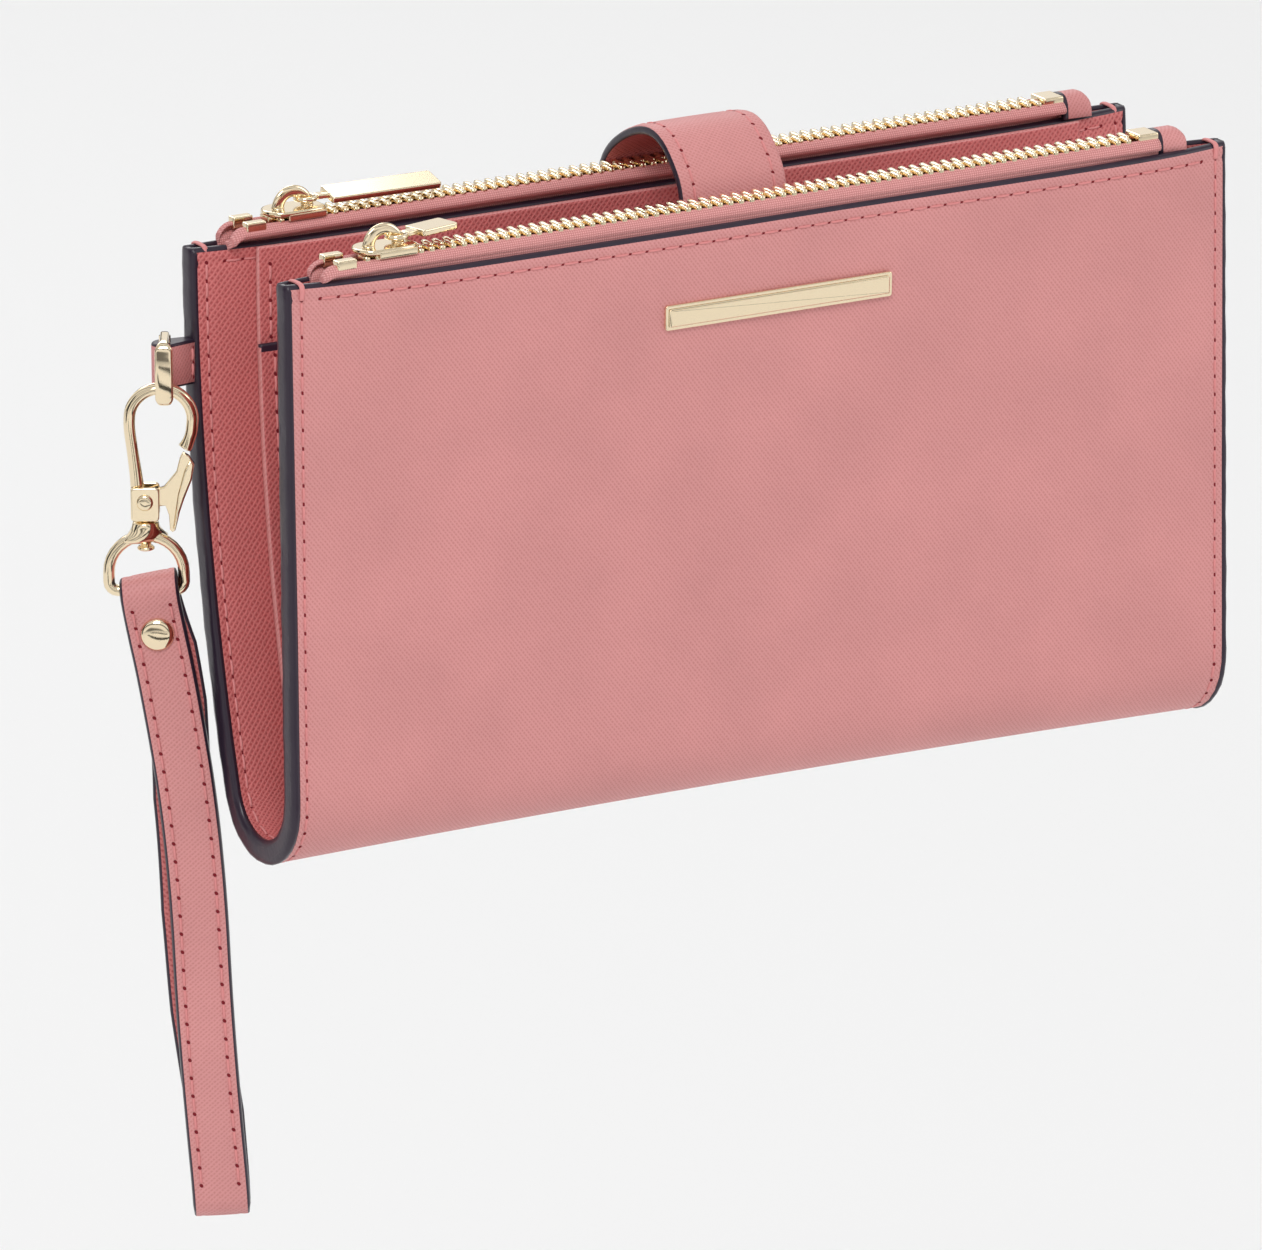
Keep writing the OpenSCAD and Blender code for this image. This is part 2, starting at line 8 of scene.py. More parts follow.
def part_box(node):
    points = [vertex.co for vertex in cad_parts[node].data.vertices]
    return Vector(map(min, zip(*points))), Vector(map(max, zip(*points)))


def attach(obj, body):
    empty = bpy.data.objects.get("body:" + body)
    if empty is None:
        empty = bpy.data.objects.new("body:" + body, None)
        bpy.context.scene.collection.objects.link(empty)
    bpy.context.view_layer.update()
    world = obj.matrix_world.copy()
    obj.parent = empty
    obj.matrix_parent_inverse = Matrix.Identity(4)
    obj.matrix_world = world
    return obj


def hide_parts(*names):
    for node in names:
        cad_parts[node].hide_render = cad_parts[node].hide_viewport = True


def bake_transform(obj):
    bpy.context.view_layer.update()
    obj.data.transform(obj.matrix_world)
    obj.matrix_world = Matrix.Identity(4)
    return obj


# A folding wristlet wallet. Lengths in this script are millimetres until new_object() turns them into metres.
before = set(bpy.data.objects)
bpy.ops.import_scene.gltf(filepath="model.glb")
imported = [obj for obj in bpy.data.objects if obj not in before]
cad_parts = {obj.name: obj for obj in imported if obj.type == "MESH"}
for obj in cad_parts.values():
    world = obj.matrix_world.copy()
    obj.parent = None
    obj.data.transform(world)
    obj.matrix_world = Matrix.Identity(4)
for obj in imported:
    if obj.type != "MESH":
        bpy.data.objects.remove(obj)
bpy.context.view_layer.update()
MM = 0.001


def node_box(name):
    """Lowest and highest corner of a CAD node, in millimetres."""
    low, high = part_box(name)
    return [v / MM for v in low], [v / MM for v in high]


def clamp(value, low=0.0, high=1.0):
    return max(low, min(high, value))


# ---- Side profile of the folded wrap, as in the CAD model ----
HALF = node_box("front_outer_panel")[1][0]
FRONT_TOP = node_box("front_outer_panel")[1][2]
BACK_TOP = node_box("back_outer_panel")[1][2]
DEPTH = 37.0
LEAN_R = 330.0  # the back face leans on this radius
LEAN_Z = 98.2
SEAM = 4.0  # both leathers and what is between them
LEATHER = 1.6
OUT_BOW = (-3.3, -0.6)  # how far the outer leather swells, in front and behind
IN_BOW = (2.5, 2.6)
FRONT_Y = -DEPTH / 2
LEAN_Y = DEPTH / 2 - LEAN_R


def fold_radius():
    """Radius of the bottom fold, which touches the front face, the ground and the back face's arc."""
    across = LEAN_R - DEPTH
    reach = across - LEAN_Z + LEAN_R
    return -reach + math.sqrt(reach ** 2 - across ** 2 - LEAN_Z ** 2 + LEAN_R ** 2)


FOLD_R = fold_radius()
FOLD_Y = FRONT_Y + FOLD_R
LEAN_LOW = math.atan2(FOLD_R - LEAN_Z, FOLD_Y - LEAN_Y)
U_FRONT = FOLD_R * math.pi / 2
U_BACK = FOLD_R * (math.pi / 2 + LEAN_LOW)


def front_u(z):
    """Path length u of a height on the front face. It is negative there, and positive behind the fold."""
    return -(U_FRONT + z - FOLD_R)


def back_u(z):
    return U_BACK + (math.asin((z - LEAN_Z) / LEAN_R) - LEAN_LOW) * LEAN_R


TOP_U = (front_u(FRONT_TOP), back_u(BACK_TOP))


def wrap(u, d):
    """(y, z) at path length u from the bottom of the fold and depth d below the outer face."""
    if u < -U_FRONT:
        return FRONT_Y + d, FOLD_R - U_FRONT - u
    if u < U_BACK:
        a = math.radians(270) + u / FOLD_R
        return FOLD_Y + (FOLD_R - d) * math.cos(a), FOLD_R + (FOLD_R - d) * math.sin(a)
    a = LEAN_LOW + (u - U_BACK) / LEAN_R
    return LEAN_Y + (LEAN_R - d) * math.cos(a), LEAN_Z + (LEAN_R - d) * math.sin(a)


def swell(x, u):
    """How far the pouches are swollen here: nothing at the side seams and in the fold, 1 at the mouth."""
    low, high = (U_FRONT, -TOP_U[0]) if u < 0 else (U_BACK, TOP_U[1])
    rise = clamp((abs(u) - low) / (high - low), 0.0, 1.05) ** 1.2
    return (1 - abs(x / HALF) ** 8) * rise


SAG_UP = 0.9
SAG_SPAN = 30.0


def skin(x, u, d, bows):
    """A point of a layer that follows the wrap, at depth d, with its swell and the fold's slight arch."""
    y, z = wrap(u, d + bows[0 if u < 0 else 1] * swell(x, u))
    z += SAG_UP * (1 - (x / HALF) ** 2) * math.exp(-(u / SAG_SPAN) ** 2)
    return Vector((x, y, z))


def soft_swell(x, u):
    """Slight unevenness of the soft outer leather, in millimetres."""
    wave = (0.16 * math.sin(x * 0.061 + u * 0.034 + 0.7) + 0.10 * math.sin(x * 0.023 - u * 0.071 + 2.1)
            + 0.06 * math.sin(x * 0.12 + u * 0.09))
    return wave * swell(x, u)


# ---- Helpers for lines ----
def stations(a, b, step, fine, fine_end=None):
    """Values from a to b about a step apart, with extra ones at the fine distances from each end."""
    fine_end = fine if fine_end is None else fine_end
    sign = 1 if b > a else -1
    start, stop = a + sign * fine[-1], b - sign * fine_end[-1]
    count = max(1, round(abs(stop - start) / step))
    middle = [start + (stop - start) * i / count for i in range(count + 1)]
    head = [a + sign * f for f in fine[:-1]]
    tail = [b - sign * f for f in reversed(fine_end[:-1])]
    return head + middle + tail


def arc(cx, cy, radius, start, stop, steps):
    """Points of an arc from one angle to the other, in degrees, with both ends."""
    angles = [math.radians(start + (stop - start) * k / steps) for k in range(steps + 1)]
    return [(cx + radius * math.cos(a), cy + radius * math.sin(a)) for a in angles]


def rounded_outline(low, high, r):
    """A rectangle with rounded corners, counter-clockwise, from its lowest and highest corner."""
    (x0, y0), (x1, y1) = low[:2], high[:2]
    points = []
    corners = ((x1 - r, y0 + r, 270), (x1 - r, y1 - r, 0), (x0 + r, y1 - r, 90), (x0 + r, y0 + r, 180))
    for cx, cy, start in corners:
        points += arc(cx, cy, r, start, start + 90, 5)
    return points


def smooth_path(points, per_span):
    """A smooth curve through the given points."""
    pts = [Vector(p) for p in points]
    out = []
    for i, (p1, p2) in enumerate(zip(pts, pts[1:])):
        p0 = pts[i - 1] if i else 2 * p1 - p2
        p3 = pts[i + 2] if i + 2 < len(pts) else 2 * p2 - p1
        for k in range(per_span):
            f = k / per_span
            out.append(0.5 * ((2 * p1) + (p2 - p0) * f + (2 * p0 - 5 * p1 + 4 * p2 - p3) * f ** 2
                              + (3 * p1 - p0 - 3 * p2 + p3) * f ** 3))
    return out + [pts[-1]]


def even_places(points, pitch):
    """Places about a pitch apart along a path: a point's index and a fraction of the way to the next."""
    lengths = [0.0]
    for a, b in zip(points, points[1:]):
        lengths.append(lengths[-1] + (b - a).length)
    count = max(1, round(lengths[-1] / pitch))
    places, j = [], 0
    for i in range(count + 1):
        want = lengths[-1] * i / count
        while j < len(points) - 2 and lengths[j + 1] < want:
            j += 1
        places.append((j, (want - lengths[j]) / max(1e-9, lengths[j + 1] - lengths[j])))
    return places


def resample(points, pitch):
    return [points[j].lerp(points[j + 1], f) for j, f in even_places(points, pitch)]


def line_normal(line, i):
    """Unit normal, across X, of a line in a plane of constant X."""
    tangent = (line[min(len(line) - 1, i + 1)] - line[max(0, i - 1)]).normalized()
    return Vector((0, tangent.z, -tangent.y))


# ---- Helpers for meshes ----
def add_to_scene(name, data, place=None):
    obj = bpy.data.objects.new(name, data)
    bpy.context.scene.collection.objects.link(obj)
    if place:
        obj.matrix_world = place
    return obj


def new_object(name, verts, faces, mats, face_mats, uvs, flat):
    """A mesh from millimetres; the faces listed in flat keep plain flat shading."""
    mesh = bpy.data.meshes.new(name)
    mesh.from_pydata([tuple(c * MM for c in v) for v in verts], [], faces)
    for m in mats:
        mesh.materials.append(m)
    mesh.polygons.foreach_set("material_index", face_mats)
    layer = mesh.uv_layers.new(name="Grain")
    for loop in mesh.loops:
        layer.data[loop.index].uv = uvs[loop.vertex_index]
    mesh.polygons.foreach_set("use_smooth", [True] * len(mesh.polygons))
    for index in flat:
        mesh.polygons[index].use_smooth = False
    work = bmesh.new()
    work.from_mesh(mesh)
    bmesh.ops.recalc_face_normals(work, faces=work.faces)
    work.to_mesh(mesh)
    work.free()
    return add_to_scene(name, mesh)


class Builder:
    """Collects the parts of one mesh."""

    def __init__(self):
        self.verts, self.faces, self.mats, self.uvs, self.flat = [], [], [], [], []

    def add(self, verts, faces, mat=0, uvs=None, flat_last=0):
        base = len(self.verts)
        self.verts += verts
        self.faces += [tuple(base + i for i in f) for f in faces]
        self.mats += mat if isinstance(mat, list) else [mat] * len(faces)
        self.uvs += uvs or [(v[0] + v[1], v[2]) for v in verts]
        self.flat += range(len(self.faces) - flat_last, len(self.faces))

    def make(self, name, mats):
        return new_object(name, self.verts, self.faces, mats, self.mats, self.uvs, self.flat)


def piece(name, out, mats, body=None, replaced=()):
    """Make a piece, hide what it replaces, and ride it on its body when one is given."""
    obj = out.make(name, mats)
    if replaced:
        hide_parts(*replaced)
    if body:
        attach(obj, body)
    return obj


def thick_sheet(ss, ts, face, back, paint=None, bulge=0.35, rim=4, back_mat=0, rim_mat=None):
    """A leather layer: a face and a back over a grid, joined by a rounded, painted rim."""
    out = Builder()
    ns, nt = len(ss), len(ts)
    verts = [face(s, t) for s in ss for t in ts] + [back(s, t) for s in ss for t in ts]
    uvs = [(s, t) for s in ss for t in ts] * 2
    faces, mats = [], []
    for i in range(ns - 1):
        for j in range(nt - 1):
            a = i * nt + j
            quad = (a, a + 1, a + nt + 1, a + nt)
            painted = bool(paint and paint((ss[i] + ss[i + 1]) / 2, (ts[j] + ts[j + 1]) / 2))
            faces += [quad, tuple(ns * nt + k for k in reversed(quad))]
            mats += [1, 1] if painted else [0, back_mat]
    loop = ([(i, 0) for i in range(ns)] + [(ns - 1, j) for j in range(1, nt)]
            + [(i, nt - 1) for i in range(ns - 2, -1, -1)] + [(0, j) for j in range(nt - 2, 0, -1)])
    rows = [[i * nt + j for i, j in loop]]
    for k in range(1, rim):
        row = []
        for i, j in loop:
            inner = (min(max(i, 1), ns - 2), min(max(j, 1), nt - 2))
            a, b = verts[i * nt + j], verts[ns * nt + i * nt + j]
            outward = a - verts[inner[0] * nt + inner[1]]
            outward = outward.normalized() if outward.length > 1e-9 else Vector((0, 0, 0))
            f = k / rim
            row.append(len(verts))
            verts.append(a.lerp(b, f) + outward * bulge * math.sin(math.pi * f))
            uvs.append((ss[i], ts[j] + f))
        rows.append(row)
    rows.append([ns * nt + i * nt + j for i, j in loop])
    n = len(loop)
    for r0, r1 in zip(rows, rows[1:]):
        for m in range(n):
            k = (m + 1) % n
            faces.append((r0[m], r0[k], r1[k], r1[m]))
            mats.append(rim_mat(*loop[m]) if rim_mat else 1)
    out.add(verts, faces, mats, uvs)
    return out


def ring_faces(count, ring, closed=False):
    """Quads that join a stack of rings, then its two end caps if it isn't closed."""
    faces = []
    for i in range(count if closed else count - 1):
        a, b = i * ring, (i + 1) % count * ring
        for k in range(ring):
            m = (k + 1) % ring
            faces.append((a + k, b + k, b + m, a + m))
    if not closed:
        faces += [tuple(range(ring)), tuple((count - 1) * ring + k for k in reversed(range(ring)))]
    return faces


def frames_along(points, closed):
    """Side and up at each point of a path, carried along without twist."""
    n = len(points)
    result = []
    side = None
    for i in range(n):
        a = points[(i - 1) % n] if closed or i else points[0]
        b = points[(i + 1) % n] if closed or i < n - 1 else points[-1]
        t = (b - a).normalized()
        if side is None:
            seed = Vector((0, 0, 1)) if abs(t.z) < 0.9 else Vector((0, 1, 0))
            side = seed.cross(t).normalized()
        else:
            side = (side - t * side.dot(t)).normalized()
        result.append((side, t.cross(side)))
    return result


def add_tube(out, points, radius, ring, closed=False, power=2.0):
    """A tube along a path. radius(f) gives its half-widths, and a power above 2 squares it off."""
    n = len(points)
    verts, uvs = [], []
    for i, (p, (side, top)) in enumerate(zip(points, frames_along(points, closed))):
        ra, rb = radius(i / (n - 1 if not closed else n))
        for k in range(ring):
            a = 2 * math.pi * k / ring
            c, s = math.cos(a), math.sin(a)
            c = math.copysign(abs(c) ** (2 / power), c)
            s = math.copysign(abs(s) ** (2 / power), s)
            verts.append(p + side * (ra * c) + top * (rb * s))
            uvs.append((i * 0.5, k * 0.5))
    out.add(verts, ring_faces(n, ring, closed), 0, uvs)


def add_lathe(out, origin, axis, profile, ring=32):
    """A turned piece: profile is a list of (radius, height) along axis."""
    axis = Vector(axis).normalized()
    seed = Vector((0, 0, 1)) if abs(axis.z) < 0.9 else Vector((1, 0, 0))
    e1 = seed.cross(axis).normalized()
    e2 = axis.cross(e1)
    verts = []
    for r, h in profile:
        for x, y in arc(0, 0, r, 0, 360, ring)[:-1]:
            verts.append(Vector(origin) + axis * h + e1 * x + e2 * y)
    out.add(verts, ring_faces(len(profile), ring))


def add_plate(out, outline, z0, z1, bevel, place, steps=3, cap_mat=0):
    """A flat plate with rounded rims. outline is a closed list of (x, y), counter-clockwise."""
    n = len(outline)
    normals = []
    for i in range(n):
        a, b = outline[i - 1], outline[(i + 1) % n]
        t = Vector((b[0] - a[0], b[1] - a[1])).normalized()
        normals.append((t.y, -t.x))
    turns = [math.pi / 2 * k / steps for k in range(steps + 1)]
    low = [(z0 + bevel * (1 - math.sin(a)), bevel * (1 - math.cos(a))) for a in reversed(turns)]
    rings = low + [(z1 - (z - z0), inset) for z, inset in reversed(low)]
    verts = []
    for z, inset in rings:
        for (x, y), (nx, ny) in zip(outline, normals):
            verts.append(place @ Vector((x - nx * inset, y - ny * inset, z)))
    faces = ring_faces(len(rings), n)
    out.add(verts, faces, [0] * (len(faces) - 2) + [cap_mat] * 2, flat_last=2)


def add_block(out, low, high, radius, bevel, place=Matrix.Identity(4), steps=3):
    """A block between two corners (x, y, z), with rounded upright edges and rounded rims."""
    add_plate(out, rounded_outline(low, high, radius), low[2], high[2], bevel, place, steps)


# ---- Materials ----
def feed(tree, socket, value):
    """Set an input to a value, or link another node's output to it."""
    if isinstance(value, bpy.types.NodeSocket):
        tree.links.new(value, socket)
    else:
        socket.default_value = value


def node(tree, kind, **values):
    """A new node. Each value feeds the input of that name, or sets the node's own setting."""
    made = tree.nodes.new(kind)
    for key, value in values.items():
        if key.replace("_", " ") in made.inputs:
            feed(tree, made.inputs[key.replace("_", " ")], value)
        else:
            setattr(made, key, value)
    return made


def maths(tree, operation, *terms):
    made = node(tree, "ShaderNodeMath", operation=operation)
    for socket, term in zip(made.inputs, terms):
        feed(tree, socket, term)
    return made.outputs[0]


def ramp(tree, fac, *stops):
    """A colour ramp between two (position, colour) stops."""
    made = node(tree, "ShaderNodeValToRGB", Fac=fac)
    for element, (position, colour) in zip(made.color_ramp.elements, stops):
        element.position = position
        element.color = (*colour, 1)
    return made.outputs["Color"]


def material(name, **values):
    mat = bpy.data.materials.new(name)
    mat.use_nodes = True
    shader = mat.node_tree.nodes["Principled BSDF"]
    for key, value in values.items():
        shader.inputs[key.replace("_", " ")].default_value = value
    return mat, mat.node_tree, shader


def add_bump(tree, shader, height, depth):
    bump = node(tree, "ShaderNodeBump", Strength=1.0, Distance=depth, Height=height)
    feed(tree, shader.inputs["Normal"], bump.outputs["Normal"])


WAVE_MM = 0.314  # scale at which the wave texture repeats every millimetre


def waves(tree, angle, pitch, **values):
    """Parallel ridges over the mesh's own millimetres, a pitch apart, turned by an angle in degrees."""
    uv = node(tree, "ShaderNodeUVMap", uv_map="Grain")
    turn = node(tree, "ShaderNodeMapping", Vector=uv.outputs["UV"], Rotation=(0, 0, math.radians(angle)))
    wave = node(tree, "ShaderNodeTexWave", Vector=turn.outputs["Vector"], Scale=WAVE_MM / pitch, **values)
    return wave.outputs["Fac"]


def saffiano(name, colour, dark, pitch=0.62, depth=0.000045):
    """Cross-hatched leather: two sets of fine slanting ridges broken up by noise, over a slight mottle. Its
    colour darkens towards the grain's valleys, a painted shade.
    """
    mat, tree, shader = material(name, Roughness=0.5, Specular_IOR_Level=0.35)
    ridges = []
    for angle, weight in ((38, 1.0), (-46, 0.66)):
        ridge = waves(tree, angle, pitch, Distortion=1.6, Detail=2.0, Detail_Scale=2.5)
        ridges.append(maths(tree, "MULTIPLY", ridge, weight))
    uv = node(tree, "ShaderNodeUVMap", uv_map="Grain").outputs["UV"]
    grit = node(tree, "ShaderNodeTexNoise", Vector=uv, Scale=1.7, Detail=4.0, Roughness=0.6)
    mottle = node(tree, "ShaderNodeTexNoise", Vector=uv, Scale=0.045, Detail=3.0)
    height = maths(tree, "MULTIPLY_ADD", grit.outputs["Fac"], 0.55, maths(tree, "MAXIMUM", *ridges))
    add_bump(tree, shader, height, depth)
    shade = node(tree, "ShaderNodeMapRange", Value=mottle.outputs["Fac"],
                 From_Min=0.3, From_Max=0.7, To_Min=0.95, To_Max=1.05)
    # The ramp darkens the low parts of the grain: painted shade in its valleys.
    tone = node(tree, "ShaderNodeHueSaturation", Value=shade.outputs["Result"],
                Color=ramp(tree, height, (0.35, dark), (1.0, colour)))
    feed(tree, shader.inputs["Base Color"], tone.outputs["Color"])
    return mat


def woven(name, colour, dark):
    """Close plain weave of a zip tape, with painted shade in the low parts of the weave."""
    mat, tree, shader = material(name, Roughness=0.85, Specular_IOR_Level=0.2)
    cross = maths(tree, "MULTIPLY", *[waves(tree, angle, 0.42, Distortion=0.5) for angle in (0, 90)])
    add_bump(tree, shader, cross, 0.00006)
    # The low parts of the weave take the darker colour: painted shade between the threads.
    feed(tree, shader.inputs["Base Color"], ramp(tree, cross, (0.0, dark), (0.6, colour)))
    return mat


def plain(name, colour, rough, metallic=0.0, coat=0.0, noise=None, specular=0.5):
    """One colour, with a fine unevenness where noise gives its (scale, depth)."""
    mat, tree, shader = material(
        name, Base_Color=(*colour, 1), Roughness=rough, Metallic=metallic, Coat_Weight=coat,
        Coat_Roughness=0.15, Specular_IOR_Level=specular)
    if noise:
        place = node(tree, "ShaderNodeTexCoord").outputs["Object"]
        grain = node(tree, "ShaderNodeTexNoise", Vector=place, Scale=noise[0], Detail=3.0)
        add_bump(tree, shader, grain.outputs["Fac"], noise[1])
    return mat


PINK = (0.655, 0.285, 0.278)
# Colour of the grain's valleys: a painted shade of the pink.
PINK_VALLEY_SHADE = (0.555, 0.208, 0.203)
leather = saffiano("leather_outer", PINK, PINK_VALLEY_SHADE)
# The same leather as outside, made darker and redder where it lies inside the pouches and under the tab and
# strap: painted shade and painted red bounce light.
shaded_leather = saffiano("leather_inner", (0.66, 0.20, 0.195), (0.44, 0.085, 0.085), pitch=0.8, depth=0.00008)
# A lighter copy of the leather for the turned pocket sides: painted light where they face the lamps.
turned = saffiano("leather_turned_edge_lit", (0.70, 0.31, 0.30), (0.60, 0.23, 0.22))
# The tape's pink is made lighter than the leather: partly its own colour, partly a painted light falling on
# it from above.
tape_mat = woven("zip_tape_weave_lit_shaded", (0.80, 0.40, 0.385), (0.56, 0.22, 0.215))
lining_mat = plain("lining_cloth", (0.45, 0.30, 0.27), 0.9, noise=(2500, 0.00005))
paint = plain("edge_paint", (0.026, 0.016, 0.030), 0.30, coat=0.12, noise=(700, 0.00006), specular=0.35)
thread = plain("thread", (0.70, 0.265, 0.262), 0.6, noise=(4000, 0.00003), specular=0.3)
# Flat dark discs at the stitch holes: painted shade for the holes' depth.
hole = plain("needle_hole_shade", (0.19, 0.018, 0.025), 0.9, specular=0.1)
gold = plain("pale_gold", (0.90, 0.755, 0.53), 0.10, metallic=1.0, noise=(260, 0.000001))
steel = plain("spring_steel", (0.62, 0.62, 0.64), 0.25, metallic=1.0)


def gold_piece(name, out, body, *replaced):
    piece(name, out, [gold], body, replaced)


def recolour(mat, *nodes):
    """Give carried-over CAD nodes a material."""
    for name in nodes:
        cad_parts[name].data.materials.clear()
        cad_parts[name].data.materials.append(mat)


recolour(gold, "snap_socket", "snap_cap", "snap_stud")
recolour(steel, "gate_spring")
recolour(lining_mat, "back_lining", "front_lining")


# ---- Stitching ----
PITCH = 3.2
THREAD_R = 0.24
THREAD_ARCH = ((0.1, -0.16), (0.22, 0.04), (0.5, 0.12), (0.78, 0.04), (0.9, -0.16))  # (fraction, height)
# Size of the painted shade disc at each stitch hole.
HOLE_SIZE = (0.40, 0.30)


def add_stitches(out, points, normals, lift=0.0):
    """A row of stitches: a thread from hole to hole, and at each hole a slanting dark disc, a painted shade
    for the depth of the awl hole.
    """
    for i, (p, n) in enumerate(zip(points, normals)):
        if i + 1 < len(points):
            q, m = points[i + 1], normals[i + 1]
            path = [p.lerp(q, f) + n.lerp(m, f).normalized() * (rise + lift) for f, rise in THREAD_ARCH]
            add_tube(out, path, lambda f: (THREAD_R, THREAD_R * 0.8), ring=6)
            along = (q - p).normalized()
        side = n.cross(along).normalized()
        verts = [p + n * (0.035 + lift)]
        for x, y in arc(0, 0, 1, 0, 315, 7):
            verts.append(p + n * (0.03 + lift) + (along * 0.8 + side * 0.6) * (HOLE_SIZE[0] * x)
                         + (side * 0.8 - along * 0.6) * (HOLE_SIZE[1] * y))
        out.add(verts, [(0, k + 1, (k + 1) % 8 + 1) for k in range(8)], 1)


def stitch_piece(name, out, body=None):
    return piece(name, out, [thread, hole], body)


def skin_stitches(name, x_of, u_of, d, bows, body=None):
    """A row of stitches on a leather of the wrap, along the curve of x_of and u_of from 0 to 1."""
    outward = bows is OUT_BOW
    fine = 300
    dense = [skin(x_of(i / fine), u_of(i / fine), d, bows) for i in range(fine + 1)]
    points, normals = [], []
    for j, part in even_places(dense, PITCH):
        x, u = x_of((j + part) / fine), u_of((j + part) / fine)
        dx = skin(min(x + 0.4, HALF), u, d, bows) - skin(max(x - 0.4, -HALF), u, d, bows)
        du = skin(x, u + 0.4, d, bows) - skin(x, u - 0.4, d, bows)
        n = du.cross(dx).normalized()
        points.append(skin(x, u, d - (soft_swell(x, u) if outward else 0), bows))
        normals.append(n if outward else -n)
    out = Builder()
    add_stitches(out, points, normals)
    return stitch_piece(name, out, body)


# ---- The wrap: outer leather, inner leather and the painted side edges ----
FINE = (0, 0.4, 1.0, 1.5, 1.9, 2.3, 2.7, 3.2, 4.5)
STITCH_IN = 2.3
STITCH_X = {"left": -HALF + STITCH_IN, "right": HALF - STITCH_IN}
GROOVE = 0.16


def groove(distance):
    """Depth of the dent that a row of stitches pulls into the leather, and of its rounded edge."""
    return GROOVE * math.exp(-((distance - STITCH_IN) / 0.55) ** 2) + 0.3 * max(0.0, 1 - distance / 1.1) ** 2


def seam_dent(x, u):
    top = (u - TOP_U[0]) if u < 0 else (TOP_U[1] - u)
    return max(groove(HALF - abs(x)), groove(top))


def wrap_layer(name, leather_mat, slot, bows, face_depth, back_depth, *replaced):
    """One leather of the wrap, from the front mouth round the fold to the back mouth."""
    xs, us = stations(-HALF, HALF, 3.6, FINE), stations(TOP_U[0], TOP_U[1], 3.0, FINE)
    sheet = thick_sheet(xs, us, lambda x, u: skin(x, u, face_depth(x, u), bows),
                        lambda x, u: skin(x, u, back_depth, bows),
                        lambda x, u: min(u - TOP_U[0], TOP_U[1] - u) < 0.5)
    return piece(name, sheet, [leather_mat, paint], replaced=replaced)


def side_edge(name, way):
    """The painted side seam: one domed band round the whole profile."""
    section = [(-0.9, -0.05), (-0.35, -0.14), (0.05, 0.1), (0.28, 0.7), (0.36, 1.4), (0.33, 2.0), (0.36, 2.6),
               (0.28, 3.3), (0.05, 3.9), (-0.35, 4.14), (-0.9, 4.05)]
    end_shrink = (0.72, 0.93, 1.0)
    mid = SEAM / 2
    us = stations(TOP_U[0] - 0.15, TOP_U[1] + 0.15, 2.4, (0, 0.3, 0.9))
    verts = []
    for i, u in enumerate(us):
        shrink = end_shrink[min(i, len(us) - 1 - i, 2)]
        for out, d in section:
            p = skin(way * (HALF - 0.01), u, mid + (d - mid) * shrink, OUT_BOW)
            wobble = 0.05 * math.sin(u * 0.9 + way) + 0.04 * math.sin(u * 2.3)
            verts.append(Vector((way * (HALF + out * shrink + (wobble if out > 0 else 0)), p.y, p.z)))
    out = Builder()
    out.add(verts, ring_faces(len(us), len(section)))
    return piece(name, out, [paint])


def side_stitches(name, x, d, bows):
    low, high = TOP_U[0] + STITCH_IN, TOP_U[1] - STITCH_IN
    return skin_stitches(name, lambda f: x, lambda f: low + f * (high - low), d, bows)


def wrap_pieces():
    yield wrap_layer("outer_wrap", leather, "leather_outer", OUT_BOW,
                     lambda x, u: seam_dent(x, u) - soft_swell(x, u), LEATHER,
                     "front_outer_panel", "back_outer_panel")
    # The inner leather wears the darker leather copy: painted shade.
    yield wrap_layer("inner_wrap", shaded_leather, "leather_inner", IN_BOW,
                     lambda x, u: SEAM - seam_dent(x, u), SEAM - LEATHER,
                     "front_inner_panel", "back_inner_panel")
    yield side_edge("side_edge_left", -1)
    yield side_edge("side_edge_right", 1)
    for tag, x in STITCH_X.items():
        yield side_stitches(f"outer_stitches_{tag}", x, GROOVE, OUT_BOW)
        yield side_stitches(f"inner_stitches_{tag}", x, SEAM - GROOVE, IN_BOW)


for obj in wrap_pieces():
    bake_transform(obj)


def mouth_stitches(name, body, u, d, bows):
    """Stitches along a pouch mouth."""
    reach = HALF - STITCH_IN - PITCH
    skin_stitches(name, lambda f: -reach + 2 * reach * f, lambda f: u, d, bows, body)


def corner_wrap(name, body, top, way, x):
    """Thread carried over the mouth at a corner."""
    over = ((STITCH_IN, 0.05), (1.2, -0.12), (0.1, -0.1), (-0.35, 0.5), (-0.45, SEAM / 2),
            (-0.35, SEAM - 0.5), (0.1, SEAM + 0.1), (1.2, SEAM + 0.12), (STITCH_IN, SEAM - 0.05))
    path = [skin(x, top + way * inset, d, OUT_BOW) for inset, d in over]
    out = Builder()
    add_tube(out, smooth_path(path, 3), lambda f: (0.5, 0.28), ring=8)
    piece(name, out, [thread], body)


MOUTHS = (("front", TOP_U[0], 1), ("back", TOP_U[1], -1))
for side, top, way in MOUTHS:
    for tag, x in STITCH_X.items():
        corner_wrap(f"{side}_pouch_corner_thread_{tag}", f"{side}_pouch", top, way, x)
for side, top, way in MOUTHS:
    row = top + way * STITCH_IN
    mouth_stitches(f"{side}_mouth_stitches", f"{side}_pouch", row, GROOVE, OUT_BOW)
    mouth_stitches(f"{side}_inner_mouth_stitches", f"{side}_pouch", row, SEAM - GROOVE, IN_BOW)


# ---- Pockets of the open middle ----
LAYER = 1.1
CARD = 0.8
BOND = 0.1
POCKET_HALF = node_box("pocket_panel")[1][0]
SLIP_U = back_u(node_box("slip_pocket")[1][2])
CARD_NODES = ("card_slot_upper", "card_slot_middle", "card_slot_lower")
POCKET_FINE = (0, 0.4, 1.2, 2.5)


